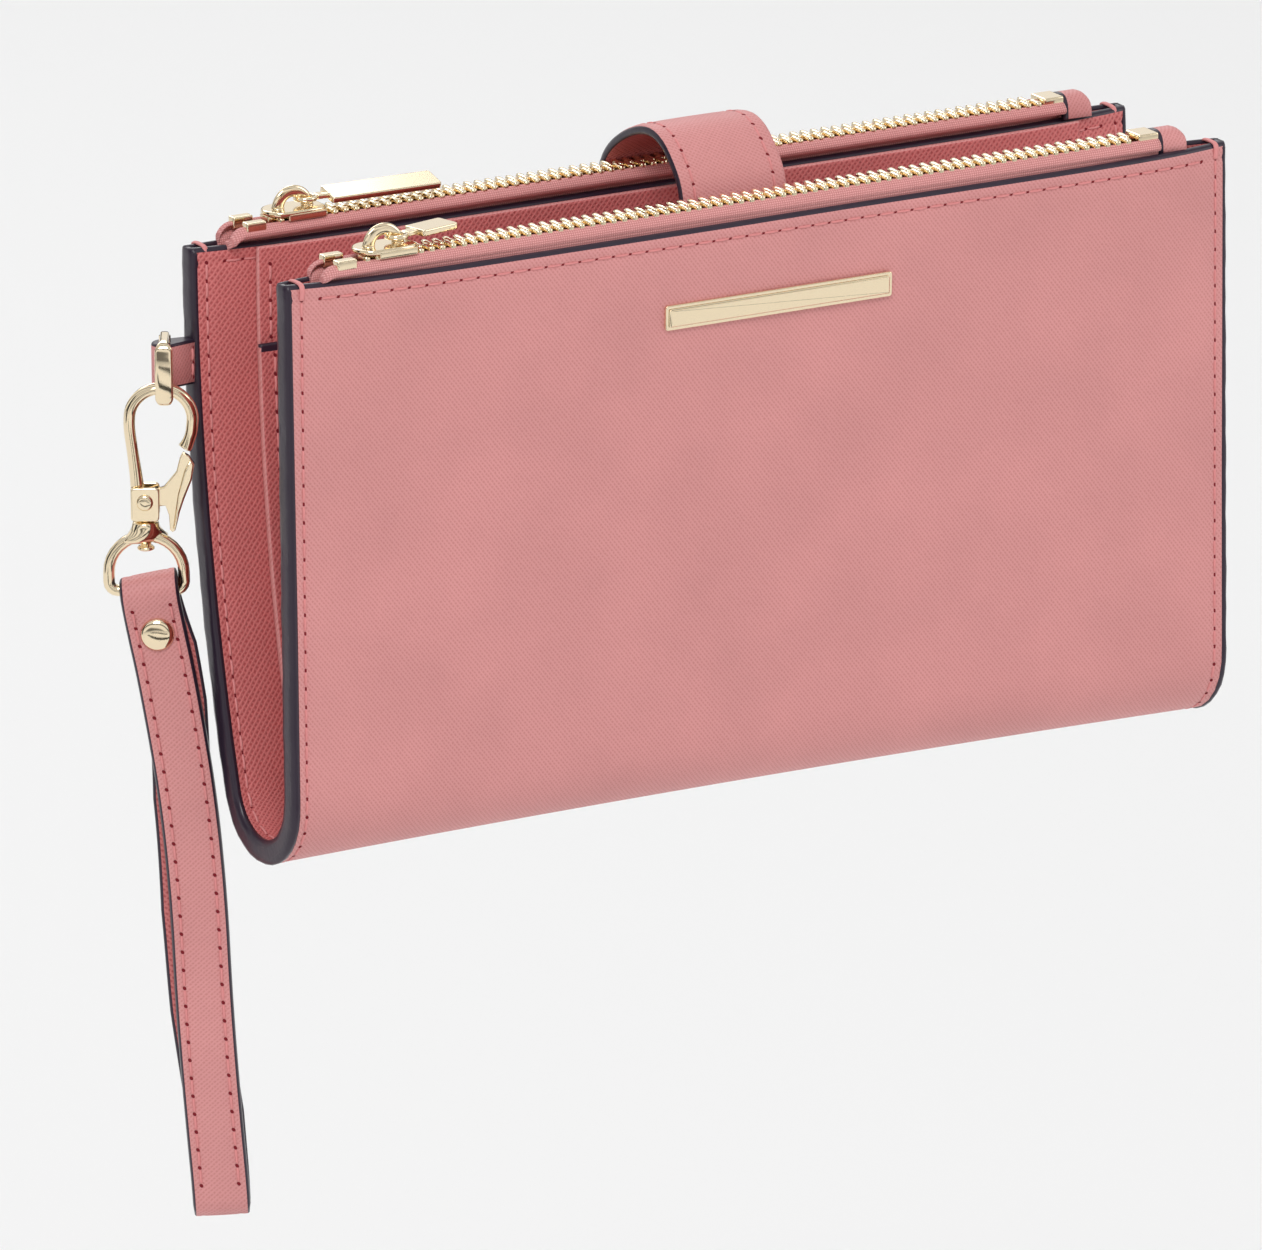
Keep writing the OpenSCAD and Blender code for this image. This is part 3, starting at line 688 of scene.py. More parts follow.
def pocket(name, body, half, u_low, u_top, depth, thick, painted):
    """A pocket layer over the inner face with turned sides; its mouth is painted or turned."""
    xs, us = stations(-half, half, 4.0, POCKET_FINE), stations(u_low, u_top, 4.0, POCKET_FINE)
    # Its faces wear the darker leather copy: painted shade.
    sheet = thick_sheet(
        xs, us,
        lambda x, u: skin(x, u, depth + thick, IN_BOW),
        lambda x, u: skin(x, u, depth, IN_BOW),
        (lambda x, u: abs(u - u_top) < 0.8) if painted else None, bulge=0.2,
        # The turned sides wear the lighter leather copy, a painted light; an edge-painted mouth stays dark.
        rim_mat=lambda i, j: 1 if painted and j == len(us) - 1 else 2)
    piece(name, sheet, [shaded_leather, paint, turned], body, [name])


def pocket_stitches(name, body, x, u_low, u_top, d):
    skin_stitches(name, lambda f: x, lambda f: u_low + f * (u_top - u_low), d, IN_BOW, body)


def back_pockets():
    low, top = back_u(11), TOP_U[1] - 0.4
    first, face = SEAM + BOND, SEAM + BOND + LAYER
    pocket("pocket_panel", "back_pouch", POCKET_HALF, low, top, first, LAYER, False)
    pocket("slip_pocket", "back_pouch", POCKET_HALF + 0.5, low, SLIP_U, face + BOND, LAYER, True)
    for tag, x in (("left", 2 - POCKET_HALF), ("right", POCKET_HALF - 2)):
        pocket_stitches(f"pocket_stitches_{tag}", "back_pouch", x, SLIP_U + 1, top - 3, face)
        pocket_stitches(f"slip_stitches_{tag}", "back_pouch", x, low + 2, SLIP_U - 2, face + BOND + LAYER)


def card_slots():
    depth = SEAM
    for name in CARD_NODES:
        depth += BOND
        top_z = node_box(name)[1][2]
        pocket(name, "front_pouch", POCKET_HALF, front_u(16), front_u(top_z), depth, CARD, True)
        depth += CARD
    for tag, x in (("left", 2.5 - POCKET_HALF), ("middle", 0.0), ("right", POCKET_HALF - 2.5)):
        pocket_stitches(f"card_stitches_{tag}", "front_pouch", x, front_u(18), front_u(top_z - 1.5), depth)


back_pockets()
card_slots()


# ---- Zippers ----
TOOTH_PITCH = 2.05
TOOTH_W = 1.15
TOOTH_SHIFT = 0.2
TOOTH_HALF_H = 0.95
TOOTH_HEAD = [(0.34, 2.68), (0.56, 2.4), (0.56, 1.35), (0.36, 0.9), (0.5, 0.35), (0.46, -0.2), (0.2, -0.48)]
TOOTH_PLAN = [(-x, y) for x, y in TOOTH_HEAD] + list(reversed(TOOTH_HEAD))
TAPE_T = 0.55
EAR_X = -82.4  # the tapes' left ends turn down from here
EAR_LENGTH = 2.6
EAR_DROP = 2.6
TAPE_DOWN = 8.0  # how far the tapes reach into the pouch
TAPE_FINE = (0, 0.05, 0.2, 0.5, 0.9, 1.5, 2.1, 2.7)


class Zip:
    """One zipper: where its chain runs, and which side is the outer one."""

    def __init__(self, side, outer_way, top_u):
        outer, inner = node_box(f"{side}_teeth_outer"), node_box(f"{side}_teeth_inner")
        self.side, self.body, self.outer_way, self.top_u = side, f"{side}_pouch", outer_way, top_u
        self.y = (min(outer[0][1], inner[0][1]) + max(outer[1][1], inner[1][1])) / 2
        self.z = (outer[0][2] + outer[1][2]) / 2
        self.x0, self.x1 = outer[0][0], outer[1][0]

    def rows(self):
        """For each row: its tag, way in Y, leather's swell, tape's depth and teeth's shift."""
        return (("outer", self.outer_way, OUT_BOW, LEATHER + 0.35, 0.0),
                ("inner", -self.outer_way, IN_BOW, SEAM - LEATHER - 0.35, TOOTH_PITCH / 2))


ZIPS = [Zip("front", -1, TOP_U[0]), Zip("back", 1, TOP_U[1])]


def teeth(zipper, tag, way, shift):
    """A row of teeth whose rounded heads meet those of the other row."""
    out = Builder()
    plan = [(x, way * y) for x, y in TOOTH_PLAN]
    if way < 0:
        plan.reverse()
    for i in range(int((zipper.x1 - zipper.x0) / TOOTH_PITCH)):
        x = zipper.x0 + TOOTH_SHIFT + TOOTH_W / 2 + shift + i * TOOTH_PITCH
        place = Matrix.Translation((x, zipper.y, zipper.z + 0.04 * math.sin(i * 2.4)))
        add_plate(out, plan, -TOOTH_HALF_H, TOOTH_HALF_H, 0.32, place, steps=2)
    gold_piece(f"{zipper.side}_teeth_{tag}_row", out, zipper.body, f"{zipper.side}_teeth_{tag}")


def tape(zipper, tag, way, bows, depth):
    """A woven tape: out of the teeth, over the edge and down inside the pouch, with a turned left end."""
    deeper = zipper.top_u - math.copysign(TAPE_DOWN, zipper.top_u)

    def centre(x):
        ear = clamp((EAR_X - x) / EAR_LENGTH)
        drop = EAR_DROP * (1 - math.sqrt(1 - ear ** 2))
        wall = skin(max(x, -HALF), zipper.top_u, depth, bows)
        low = skin(max(x, -HALF), deeper, depth, bows)
        room = abs(wall.y - zipper.y) - 0.1
        line = []
        for dy, dz in ((1.75, -0.1), (2.5, -0.02), (3.1, -0.5), (3.25, -1.3)):
            z = zipper.z + dz - drop
            inside = clamp((wall.z + 0.8 - z) / 1.2)
            line.append((x, zipper.y + way * (dy + (min(dy, room) - dy) * inside), z))
        line.append((x, wall.y, min(wall.z, line[-1][2] - 0.4)))
        return smooth_path(line + [(x, low.y, low.z)], 4)

    xs = stations(EAR_X - EAR_LENGTH, zipper.x1 + 3.5, 2.6, TAPE_FINE, (0, 1.0))
    lines = {x: centre(x) for x in xs}

    def offset(x, t, amount):
        return lines[x][t] - line_normal(lines[x], t) * (way * amount)

    sheet = thick_sheet(xs, range(len(lines[xs[0]])), lambda x, t: offset(x, t, TAPE_T / 2),
                        lambda x, t: offset(x, t, -TAPE_T / 2), bulge=0.1, rim=3)
    sheet.mats = [0] * len(sheet.mats)
    sheet.uvs = [(v[0], v[1] * 0.4 + v[2]) for v in sheet.verts]
    piece(f"{zipper.side}_tape_{tag}_band", sheet, [tape_mat], zipper.body,
          [f"{zipper.side}_tape_{tag}"])


def stops(zipper):
    for tag, way, *_ in zipper.rows():
        low, high = node_box(f"{zipper.side}_top_stop_{tag}")
        out = Builder()
        add_block(out, (low[0], low[1] + 0.1 * way, zipper.z - 0.95),
                  (high[0], high[1] + 0.1 * way, zipper.z + 1.05), 0.35, 0.25)
        gold_piece(f"{zipper.side}_stop_{tag}", out, zipper.body, f"{zipper.side}_top_stop_{tag}")
    low, high = node_box(f"{zipper.side}_bottom_stop")
    out = Builder()
    add_block(out, (low[0] - 0.6, low[1] + 0.1, low[2] - 0.3), (high[0] + 0.2, high[1] - 0.1, high[2]),
              0.4, 0.3)
    gold_piece(f"{zipper.side}_end_stop", out, zipper.body, f"{zipper.side}_bottom_stop")


def end_tab(zipper):
    """A short strip of leather folded over the ends of the tapes."""
    low, high = node_box(f"{zipper.side}_end_tab")
    length, half, tall = high[0] - low[0], (high[1] - low[1]) / 2, high[2] - low[2]
    foot = 0.3  # it goes this much further down than its CAD node

    def point(s, t, inset):
        a = math.pi * t
        y = -half * math.copysign(abs(math.cos(a)) ** 0.75, math.cos(a))
        z = tall * math.sin(a) ** 0.6
        droop = 1 - 0.25 * max(0.0, (s / length - 0.7) / 0.3) ** 2
        grow = 1 - inset / half
        return Vector((low[0] + s, zipper.y + y * grow, low[2] - foot + (z + foot) * grow * droop))

    sheet = thick_sheet(stations(0, length, 0.8, (0, 0.3, 0.8)), [i / 22 for i in range(23)],
                        lambda s, t: point(s, t, 0), lambda s, t: point(s, t, 1.1),
                        lambda s, t: s < 0.8, bulge=0.2)
    sheet.uvs = [(v[0] + v[1] * 0.3, v[2] + v[1]) for v in sheet.verts]
    piece(f"{zipper.side}_tape_end_tab", sheet, [leather, paint], zipper.body,
          [f"{zipper.side}_end_tab"])


# ---- Sliders and pulls ----
SLIDER_X = node_box("back_slider")[0][0]
SLIDER_L = 12.0
CROWN = (1.1, 1.95)  # lowest and highest face, from the middle of the chain
KEEL = (-1.85, -1.1)
BRIDGE_X = 5.6
BRIDGE_R = 2.8
EYE_UP = 1.3
EYE_OUT = math.sqrt(BRIDGE_R ** 2 - EYE_UP ** 2)
EYE_MID = 1.72


def crown_outline(half, nose):
    """Plan of a slider plate: round at the mouth, narrowing to its nose."""
    side = [(SLIDER_L * 0.55, half * 0.97), (SLIDER_L - 2.4, half * 0.93), (SLIDER_L - 1.3, nose),
            (SLIDER_L - 1.0, nose * 0.6)]
    return arc(half, 0, half, 90, 270, 12) + [(x, -y) for x, y in side] + list(reversed(side))


def slider(zipper):
    out = Builder()
    place = Matrix.Translation((SLIDER_X, zipper.y, zipper.z))
    add_plate(out, crown_outline(3.4, 2.4), CROWN[0], CROWN[1], 0.3, place)
    add_plate(out, crown_outline(2.0, 1.4), KEEL[0], KEEL[1], 0.2, place)
    for y0, y1 in ((-3.42, -2.8), (2.8, 3.42)):
        add_block(out, (3.2, y0, 0.35), (10.4, y1, CROWN[0] + 0.4), 0.25, 0.15, place)
    add_block(out, (1.2, -0.22, KEEL[1] - 0.2), (4.2, 0.22, CROWN[0] + 0.2), 0.2, 0.1, place)
    bridge = [place @ Vector((x, 0, z)) for x, z in arc(BRIDGE_X, CROWN[1] - 0.15, BRIDGE_R, 0, 180, 24)]
    add_tube(out, bridge, lambda f: (1.12 - 0.1 * math.sin(math.pi * f), 0.52), ring=16, power=2.6)
    for x in (BRIDGE_X - BRIDGE_R, BRIDGE_X + BRIDGE_R):
        foot = place @ Vector((x, 0, CROWN[1] - 0.1))
        add_lathe(out, foot, (0, 0, 1), [(1.15, 0), (1.1, 0.22), (0.8, 0.34)])
    gold_piece(f"{zipper.side}_zip_slider_body", out, f"{zipper.side}_zip_slider", f"{zipper.side}_slider")


def pull(zipper, length, yaw, roll):
    """A ring eye round the bridge, a short neck and a flat plate."""
    out = Builder()
    hinge = Vector((SLIDER_X + BRIDGE_X + EYE_OUT, zipper.y, zipper.z + 1.8 + EYE_UP))
    droop = Matrix.Rotation(math.radians(0.5), 4, "Y")
    place = Matrix.Translation(hinge) @ Matrix.Rotation(math.radians(yaw), 4, "Z") @ droop
    eye = [place @ Vector((x, y, 0)) for x, y in arc(0, 0, EYE_MID, 0, 360, 32)[:-1]]
    add_tube(out, eye, lambda f: (0.38, 0.42), ring=12, closed=True, power=2.6)
    add_block(out, (1.9, -0.95, -0.42), (4.8, 0.95, 0.42), 0.3, 0.2, place)
    tilt = place @ Matrix.Rotation(math.radians(roll), 4, "X")
    add_block(out, (4.0, -2.45, -0.55), (length, 2.45, 0.55), 0.55, 0.22, tilt)
    gold_piece(f"{zipper.side}_zip_pull_tag", out, f"{zipper.side}_zip_pull", f"{zipper.side}_pull")


for zipper in ZIPS:
    for tag, way, bows, depth, shift in zipper.rows():
        teeth(zipper, tag, way, shift)
        tape(zipper, tag, way, bows, depth)
    stops(zipper)
    end_tab(zipper)
    slider(zipper)
pull(ZIPS[0], length=12.0, yaw=14, roll=0)
pull(ZIPS[1], length=25.0, yaw=0, roll=14)


# ---- Plain metal bar in place of lettering ----
def ornament():
    """A bevelled bar that lies on the swollen front face."""
    low, high = node_box("ornament_bar")
    half_long, half_tall, step = (high[0] - low[0]) / 2, 2.2, 0.6
    x, u = (low[0] + high[0]) / 2, front_u((low[2] + high[2]) / 2)
    up = (skin(x, u - 2, 0, OUT_BOW) - skin(x, u + 2, 0, OUT_BOW)).normalized()
    across = Vector((1, 0, 0))
    turn = Matrix((across, up, across.cross(up))).transposed().to_4x4()
    place = Matrix.Translation(skin(x, u, 0, OUT_BOW)) @ turn
    out = Builder()
    add_block(out, (-half_long, -half_tall, 0.05), (half_long, half_tall, 0.75), 0.5, 0.2, place)
    half_long, half_tall = half_long - step, half_tall - step
    add_block(out, (-half_long, -half_tall, 0.6), (half_long, half_tall, 1.15), 0.3, 0.35, place, steps=2)
    gold_piece("front_ornament", out, "front_pouch", "ornament_bar")


ornament()


# ---- Closing tab ----
TAB_HALF = node_box("closing_tab")[1][0]
TAB_T = 1.7
TAB_STEP = 1.6
SNAP_Z = (node_box("snap_cap")[0][2] + node_box("snap_cap")[1][2]) / 2
LEG_Y = node_box("closing_tab")[0][1]
PATCH_LOW = node_box("tab_patch")[0][2]


def tab_line():
    """The outer line of the tab, across the wallet: from the back face over the top to the snap."""
    on_back = [skin(0, back_u(z), -BOND - TAB_T, OUT_BOW) for z in (PATCH_LOW + 0.3, 58, 66, 73, 79)]
    arch = [(20.6, 84), (20.85, 90), (20.95, 96), (20.75, 101), (19.8, 104.8), (17.4, 108.2),
            (13.6, 111.1), (9.0, 113.4), (4.6, 114.7), (0.7, 114.8), (-3.0, 113.4), (-6.3, 110.5),
            (-8.5, 107.6), (-9.5, 104.6)]
    leg = [(LEG_Y, z) for z in (101, 95, 88, SNAP_Z - TAB_HALF + 0.05)]
    return resample(smooth_path(on_back + [(0, y, z) for y, z in arch + leg], 8), TAB_STEP)


TAB_LINE = tab_line()


def tab_point(i, t, depth):
    """A point of the tab: i counts along its line, t runs from -1 to 1 across it."""
    p = TAB_LINE[i]
    half = TAB_HALF
    if p.y < 0 and p.z < SNAP_Z:
        half = math.sqrt(max(0.6, TAB_HALF ** 2 - (SNAP_Z - p.z) ** 2))
    lift = 0.12 * math.sin(i * 0.31) * (1 - t * t) if depth < TAB_T / 2 else 0
    return Vector((t * half, p.y, p.z)) - line_normal(TAB_LINE, i) * (depth - lift)


def closing_tab():
    count = len(TAB_LINE)
    across = [-1, -0.96, -0.88, -0.8, -0.7, -0.5, -0.25, 0, 0.25, 0.5, 0.7, 0.8, 0.88, 0.96, 1]
    # Its underside wears the darker leather copy: painted shade.
    sheet = thick_sheet(range(count), across, lambda i, t: tab_point(i, t, groove(TAB_HALF * (1 - abs(t)))),
                        lambda i, t: tab_point(i, t, TAB_T), bulge=0.3, back_mat=2)
    sheet.uvs = [(u[0] * TAB_STEP, u[1] * TAB_HALF) for u in sheet.uvs]
    strip = piece("closing_tab_strip", sheet, [leather, paint, shaded_leather],
                  replaced=("closing_tab", "tab_patch"))
    out = Builder()

    def normal(p):
        nearest = min(range(count), key=lambda k: (Vector((0, p.y, p.z)) - TAB_LINE[k]).length)
        return line_normal(TAB_LINE, nearest)

    for way in (-1, 1):
        row = [tab_point(i, way * (1 - STITCH_IN / TAB_HALF), GROOVE) for i in range(2, count - 10)]
        points = resample(row, PITCH)
        add_stitches(out, points, [normal(p) for p in points], lift=0.06)
    rows = stitch_piece("closing_tab_stitches", out)
    for obj in (strip, rows):
        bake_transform(obj)


closing_tab()


# ---- Clip and strap, in the clip's own turned frame ----
RING_X, RING_Y = -96.0, 15.8
HANG = Matrix.Translation((RING_X, RING_Y, 0)) @ Matrix.Rotation(math.radians(-30), 4, "Z")
HOOK_Y = -3.75
PIN_X, PIN_Z = -3.6, 60.0
# Takes the plate coordinates (x, z, forward) of the clip into its place.
FACE = HANG @ Matrix(((1, 0, 0, 0), (0, 0, -1, HOOK_Y), (0, 1, 0, 0), (0, 0, 0, 1)))


def hang(x, y, z):
    return HANG @ Vector((x, y, z))


def hang_dir(x, y, z):
    return HANG.to_3x3() @ Vector((x, y, z))


def anchor():
    """The leather loop at the side seam: a bare band, with its upper and lower edges painted."""
    low, high = node_box("anchor_tab")
    outline = arc(RING_X, RING_Y, 2.3, 70, 290, 16)
    outline += [(-HALF - 0.1, RING_Y - 1.45), (-HALF - 0.1, RING_Y + 1.45)]
    bevel_steps = 3
    out = Builder()
    add_plate(out, outline, low[2], high[2], 0.45, Matrix.Identity(4), bevel_steps, cap_mat=1)
    for i in range(len(out.mats) - 2):
        out.mats[i] = 0 if i // len(outline) == bevel_steps else 1
    piece("anchor_loop", out, [leather, paint], "back_pouch", ["anchor_tab"])
    out = Builder()
    points = [Vector((-HALF - 0.6, RING_Y - 1.5, low[2] + 1.3 + i * 2.6)) for i in range(3)]
    add_stitches(out, points, [Vector((0.1, -1, 0)).normalized()] * 3)
    stitch_piece("anchor_stitches", out, "back_pouch")


def d_ring():
    low, high = node_box("d_ring")
    mid = (low[2] + high[2]) / 2
    rail = (high[2] - low[2]) / 2 - 0.72
    lower = [(0.2, -rail), (-2, -rail), (-4, -rail), (-5.9, -rail), (-6.9, -rail + 0.35), (-7.2, -rail + 1.5),
             (-7.42, -1.5)]
    path = lower + [(y, -z) for y, z in reversed(lower)]

    def width(f):
        """Thin where it carries the loop and broad along its outer side."""
        broad = clamp((0.28 - abs(f - 0.5)) / 0.12)
        return 0.78 + 0.74 * broad, 0.7 - 0.08 * broad

    out = Builder()
    add_tube(out, smooth_path([hang(0, y, mid + z) for y, z in path], 5), width, ring=20, power=3.4)
    add_lathe(out, hang(0, 0, mid - rail), (0, 0, 1), [(1.0, 0), (1.0, 2 * rail)])
    gold_piece("d_ring_band", out, "ring", "d_ring")


def hook():
    path = [(-4.85, 61.9), (-5.1, 64.5), (-5.6, 68.5), (-6.02, 72)]
    path += arc(-0.75, 74.0, 5.3, 180, 0, 12) + [(4.3, 71.6), (3.75, 70.0), (3.2, 68.95)]

    def wire(f):
        """A round wire, thicker at its foot and at its nose."""
        thicker = 0.25 * (clamp((f - 0.93) / 0.07) + clamp(1 - f / 0.1))
        return 0.92 + thicker, 1.08

    out = Builder()
    add_tube(out, smooth_path([hang(x, HOOK_Y, z) for x, z in path], 4), wire, ring=20, power=2.3)
    for z0, z1 in ((1.5, 2.2), (-2.2, -1.5)):
        add_block(out, (PIN_X - 2.4, 56.7, z0), (PIN_X + 2.4, 62.5, z1), 0.7, 0.25, FACE)
    add_block(out, (PIN_X - 2.4, 56.9, -1.9), (PIN_X - 1.75, 62.4, 1.9), 0.3, 0.1, FACE)
    add_block(out, (PIN_X - 2.35, 56.7, -1.95), (PIN_X + 2.35, 58.3, 1.95), 0.4, 0.3, FACE)
    gold_piece("hook_body", out, "hook", "hook_frame")
    out = Builder()
    for way in (-1, 1):
        add_lathe(out, hang(PIN_X, HOOK_Y + way * 2.15, PIN_Z), hang_dir(0, way, 0),
                  [(1.4, 0), (1.38, 0.25), (1.1, 0.5), (0.6, 0.62), (0.2, 0.6)])
    add_lathe(out, hang(PIN_X, HOOK_Y - 2.2, PIN_Z), hang_dir(0, 1, 0), [(0.78, 0), (0.78, 4.4)])
    gold_piece("gate_rivet", out, "hook", "gate_pin")
    out = Builder()
    add_lathe(out, hang(PIN_X, HOOK_Y, 51.2), (0, 0, 1),
              [(1.0, 0), (1.45, 0.2), (1.5, 0.5), (1.2, 0.8), (0.9, 0.85), (0.9, 6.8)])
    gold_piece("swivel_post", out, "hook", "swivel_stem")


def gate():
    """The sprung lever: a thin arm, with a thicker rim for the thumb."""
    arm = [(PIN_X, PIN_Z - 1.2), (-0.2, 59), (0.35, 57.4), (0.5, 54.8), (0.9, 54.4), (1.4, 54.7), (2.1, 57.8),
           (2.9, 60.3), (4.2, 63.4), (4.65, 66.3), (3.9, 67.6), (2.9, 68.25), (2.35, 67.4), (1.7, 64.9),
           (-0.4, 62.3), (PIN_X, PIN_Z + 1.2), (PIN_X - 1.15, PIN_Z + 0.5), (PIN_X - 1.15, PIN_Z - 0.5)]
    thumb = [(1.0, 55.2), (1.5, 55.0), (2.2, 57.9), (3.0, 60.3), (4.25, 63.4), (4.75, 66.2), (3.95, 66.9),
             (3.0, 65.0), (1.9, 61.0)]
    out = Builder()
    add_plate(out, arm, -0.6, 0.6, 0.2, FACE)
    add_plate(out, thumb, -1.1, 1.1, 0.35, FACE)
    gold_piece("gate_lever", out, "gate", "hook_gate")


EYE_HALF = 6.3
EYE_BAR = 44.2
EYE_ARC = 47.4
EYE_CORNER = 1.5


def swivel():
    """The eye that the strap hangs from: a round bow over a straight bar, under a bell."""
    path = arc(0, EYE_ARC, EYE_HALF, 0, 180, 16)
    path += arc(-EYE_HALF + EYE_CORNER, EYE_BAR + EYE_CORNER, EYE_CORNER, 180, 270, 4)
    path += [(x, EYE_BAR) for x in (-2.5, 0, 2.5)]
    path += arc(EYE_HALF - EYE_CORNER, EYE_BAR + EYE_CORNER, EYE_CORNER, 270, 360, 4)
    out = Builder()
    add_tube(out, [hang(PIN_X + x, HOOK_Y, z) for x, z in path], lambda f: (1.0, 1.0), ring=18, closed=True)
    bell = [(52.75, 3.4, 1.2), (53.1, 4.2, 1.5), (53.6, 4.1, 1.75), (54.2, 3.4, 1.95), (54.8, 2.8, 2.05),
            (55.4, 2.4, 2.1), (56.0, 2.25, 2.1), (56.3, 2.0, 1.9)]
    add_tube(out, [hang(PIN_X, HOOK_Y, z) for z, _, _ in bell], lambda f: bell[round(f * 7)][1:], ring=28,
             power=2.1)
    gold_piece("swivel_eye_ring", out, "swivel", "swivel_eye")


STRAP_HALF = 4.7
STRAP_T = 1.75
STRAP_STEP = 2.0
STRAP_STITCH_IN = 1.5
STRAP_GROOVE = 0.1
# Height, then how far to the side: the strap's middle, and how much further its back layer goes.
STRAP_LINE = [(47.5, -3.7), (44, -3.5), (37.1, -1.9), (24.9, 0.3), (7.3, 2.9), (-10.3, 4.3), (-27.9, 4.9),
              (-45.6, 6.0), (-66, 7.6)]
STRAP_SHIFT = [(50, 0), (42, 0), (34, 1.1), (24, 0.9), (8, -0.9), (-12, -1.5), (-30, -1.0), (-48, 0.3),
               (-58, 0.2), (-66, 0)]
# Height, then how steeply the strap's width rises to the right.
STRAP_TILT = [(50, 0.2), (40, 0.2), (20, 0.15), (-10, 0.07), (-66, 0.09)]


def between(knots, z):
    """Value at height z of a line given by (height, value) knots from the top down."""
    z = clamp(z, knots[-1][0], knots[0][0])
    for (z1, v1), (z0, v0) in zip(knots, knots[1:]):
        if z >= z0:
            return v0 + (v1 - v0) * (z - z0) / (z1 - z0)


def strap_loop():
    """The middle line of the strap's leather, seen on its edge, from its lower fold round and back."""
    front = [(-0.02, -65.1), (-1.2, -64.2), (-1.55, -62), (-1.6, -52), (-1.5, -35), (-1.35, -15), (-1.2, 5),
             (-1.1, 20), (-1.05, 32), (-1.05, 38.5), (-1.5, 41), (-2.15, 43.3), (-2.1, 45.1), (-1.35, 46.1)]
    back = [(-y, z) for y, z in reversed(front)]
    return resample(smooth_path([(0, y, z) for y, z in front + [(0, 46.45)] + back], 8), STRAP_STEP)


def strap():
    line = strap_loop()
    last = len(line) - 1
    centres = []
    for p in line:
        soft = sum(between(STRAP_LINE, p.z + k * 2.5) for k in range(-3, 4)) / 7
        centres.append(soft + (between(STRAP_SHIFT, p.z) if p.y > 0.5 else 0))

    def place(i, t, depth):
        """A point of the loop: i counts along its line, t runs from -1 to 1 across it."""
        p = line[i] - line_normal(line, i) * depth
        twist = math.radians(7) * clamp((40 - line[i].z) / 90)
        x = t * STRAP_HALF
        return hang(centres[i] + x * math.cos(twist) - p.y * math.sin(twist) * 0.3,
                    HOOK_Y + p.y - x * math.sin(twist), p.z + between(STRAP_TILT, p.z) * x)

    def outer(i, t):
        edge = STRAP_HALF * (1 - abs(t))
        dent = STRAP_GROOVE * math.exp(-((edge - STRAP_STITCH_IN) / 0.5) ** 2)
        return place(i, t, STRAP_T / 2 - dent - 0.3 * max(0.0, 1 - edge / 0.6) ** 2)

    across = [-1, -0.94, -0.8, -0.68, -0.55, -0.25, 0, 0.25, 0.55, 0.68, 0.8, 0.94, 1]
    # Its inner side wears the darker leather copy: painted shade.
    sheet = thick_sheet(range(last + 1), across, outer, lambda i, t: place(i, t, -STRAP_T / 2),
                        lambda i, t: abs(t) > 0.95, bulge=0.3, back_mat=2)
    sheet.uvs = [(u[0] * STRAP_STEP, u[1] * STRAP_HALF) for u in sheet.uvs]
    piece("strap_loop", sheet, [leather, paint, shaded_leather], "strap", ["strap_band"])
    out = Builder()
    for t in (STRAP_STITCH_IN / STRAP_HALF - 1, 1 - STRAP_STITCH_IN / STRAP_HALF):
        for first, stop, facing in ((3, last // 2 - 2, -1), (last // 2 + 3, last - 3, 1)):
            points = resample([place(i, t, STRAP_T / 2 - STRAP_GROOVE) for i in range(first, stop)], PITCH)
            add_stitches(out, points, [hang_dir(0, facing, 0)] * len(points), lift=0.05)
    stitch_piece("strap_stitches", out, "strap")
    low, high = node_box("strap_rivet")
    rivet_z = (low[2] + high[2]) / 2
    out = Builder()
    dome = [(2.7, 0), (2.85, 0.18), (2.8, 0.4), (2.45, 0.75), (1.8, 1.02), (1.0, 1.17), (0.3, 1.2)]
    for way in (-1, 1):
        origin = hang(between(STRAP_LINE, rivet_z), HOOK_Y + way * 1.85, rivet_z)
        add_lathe(out, origin, hang_dir(0, way, 0), dome, ring=40)
    gold_piece("strap_stud", out, "strap", "strap_rivet")


anchor()
d_ring()
hook()
gate()
swivel()
strap()


# ---- Camera, floor and light, in metres ----
def aimed(place, look_at, axis):
    """A placement whose given axis points at look_at."""
    aim = Vector(look_at) - Vector(place)
    return Matrix.Translation(place) @ aim.to_track_quat(axis, "Y").to_matrix().to_4x4()


def camera():
    """A long lens, in front of the wallet, to its left and a little above it."""
    azimuth, elevation, roll, distance, target = -29.462, 15.887, -0.591, 3.45, (-0.0143, 0.0026, 0.0280)
    data = bpy.data.cameras.new("camera")
    data.lens = 579.91
    data.sensor_width = 36.0
    data.clip_end = 30.0
    place = Matrix.Translation(target)
    for angle, axis in ((azimuth, "Z"), (90 - elevation, "X"), (roll, "Z")):
        place = place @ Matrix.Rotation(math.radians(angle), 4, axis)
    bpy.context.scene.camera = add_to_scene("camera", data, place @ Matrix.Translation((0, 0, distance)))


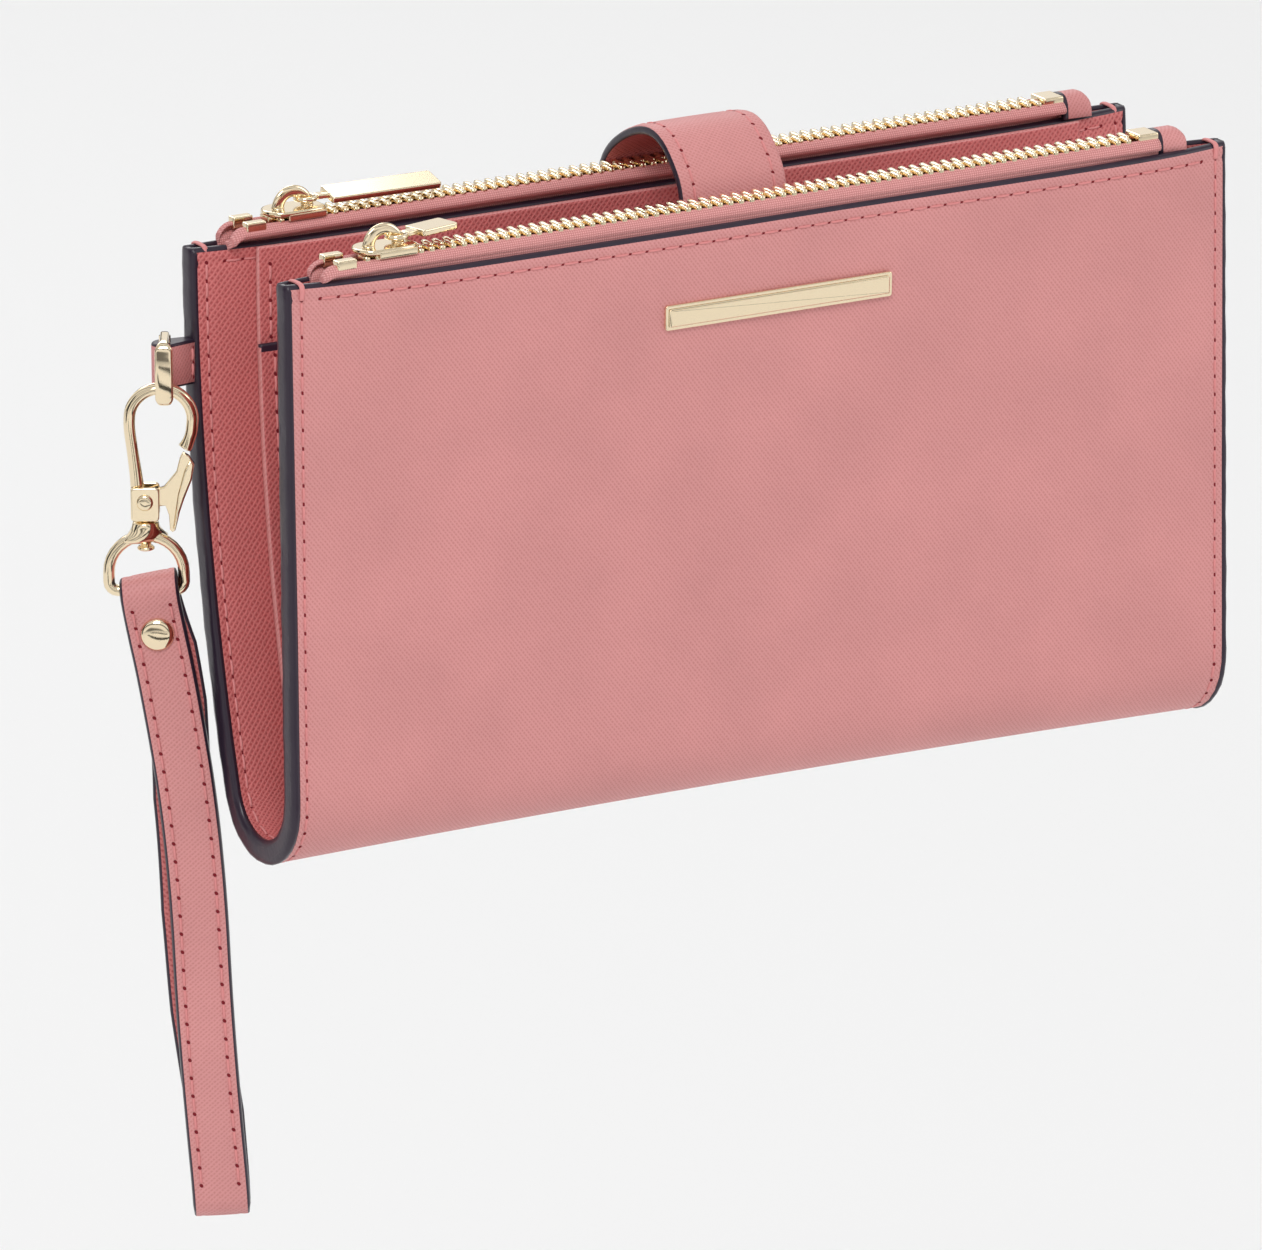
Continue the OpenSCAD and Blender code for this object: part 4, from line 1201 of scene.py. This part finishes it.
def stage_sheet(name, size, shade, place):
    """A flat sheet that belongs to the studio, not to the wallet."""
    mesh = bpy.data.meshes.new(name)
    w, h = size[0] / 2, size[1] / 2
    mesh.from_pydata([(-w, -h, 0), (w, -h, 0), (w, h, 0), (-w, h, 0)], [], [(0, 1, 2, 3)])
    mesh.materials.append(plain(name + "_paint", (shade, shade, shade), 0.9, specular=0.1))
    obj = add_to_scene(name, mesh, place)
    return obj


def card(name, place, size, look_at):
    """A dark card that only reflections show, for the metal to mirror."""
    obj = stage_sheet(name, size, 0.02, aimed(place, look_at, "Z"))
    obj.visible_camera = False
    obj.visible_diffuse = False
    obj.visible_shadow = False


def light(name, place, size, power):
    data = bpy.data.lights.new(name, "AREA")
    data.shape = "RECTANGLE"
    data.size, data.size_y = size
    data.energy = power
    add_to_scene(name, data, aimed(place, (0, 0, 0.04), "-Z"))


def surroundings():
    """A pale studio with soft darker bands, which the metal mirrors."""
    world = bpy.data.worlds.new("studio")
    world.use_nodes = True
    tree = world.node_tree
    place = node(tree, "ShaderNodeTexCoord").outputs["Generated"]
    wave = node(tree, "ShaderNodeTexWave", bands_direction="DIAGONAL", Vector=place, Scale=0.9,
                Distortion=2.2, Detail=1.0)
    grey = ramp(tree, wave.outputs["Fac"], (0.12, (0.16, 0.16, 0.16)), (0.5, (0.92, 0.92, 0.92)))
    feed(tree, tree.nodes["Background"].inputs["Color"], grey)
    bpy.context.scene.world = world
    bpy.context.scene.view_settings.view_transform = "Standard"


camera()
stage_sheet("floor", (16.0, 16.0), 0.86, Matrix.Translation((0, 0, -0.25)))
surroundings()
light("key", (-1.2, -1.6, 2.2), (1.2, 1.2), 34)
light("fill", (1.8, -1.2, 0.9), (1.0, 1.4), 7)
light("rim", (0.3, 1.8, 1.4), (1.6, 0.8), 12)
card("card_left", (-1.3, 0.5, 0.2), (0.5, 1.4), (0, 0, 0.05))
card("card_floor_0", (-0.36, -0.62, -0.24), (1.6, 0.2), (-0.36, -0.62, 1.0))
card("card_floor_1", (-0.9, -1.5, -0.24), (1.6, 0.5), (-0.9, -1.5, 1.0))
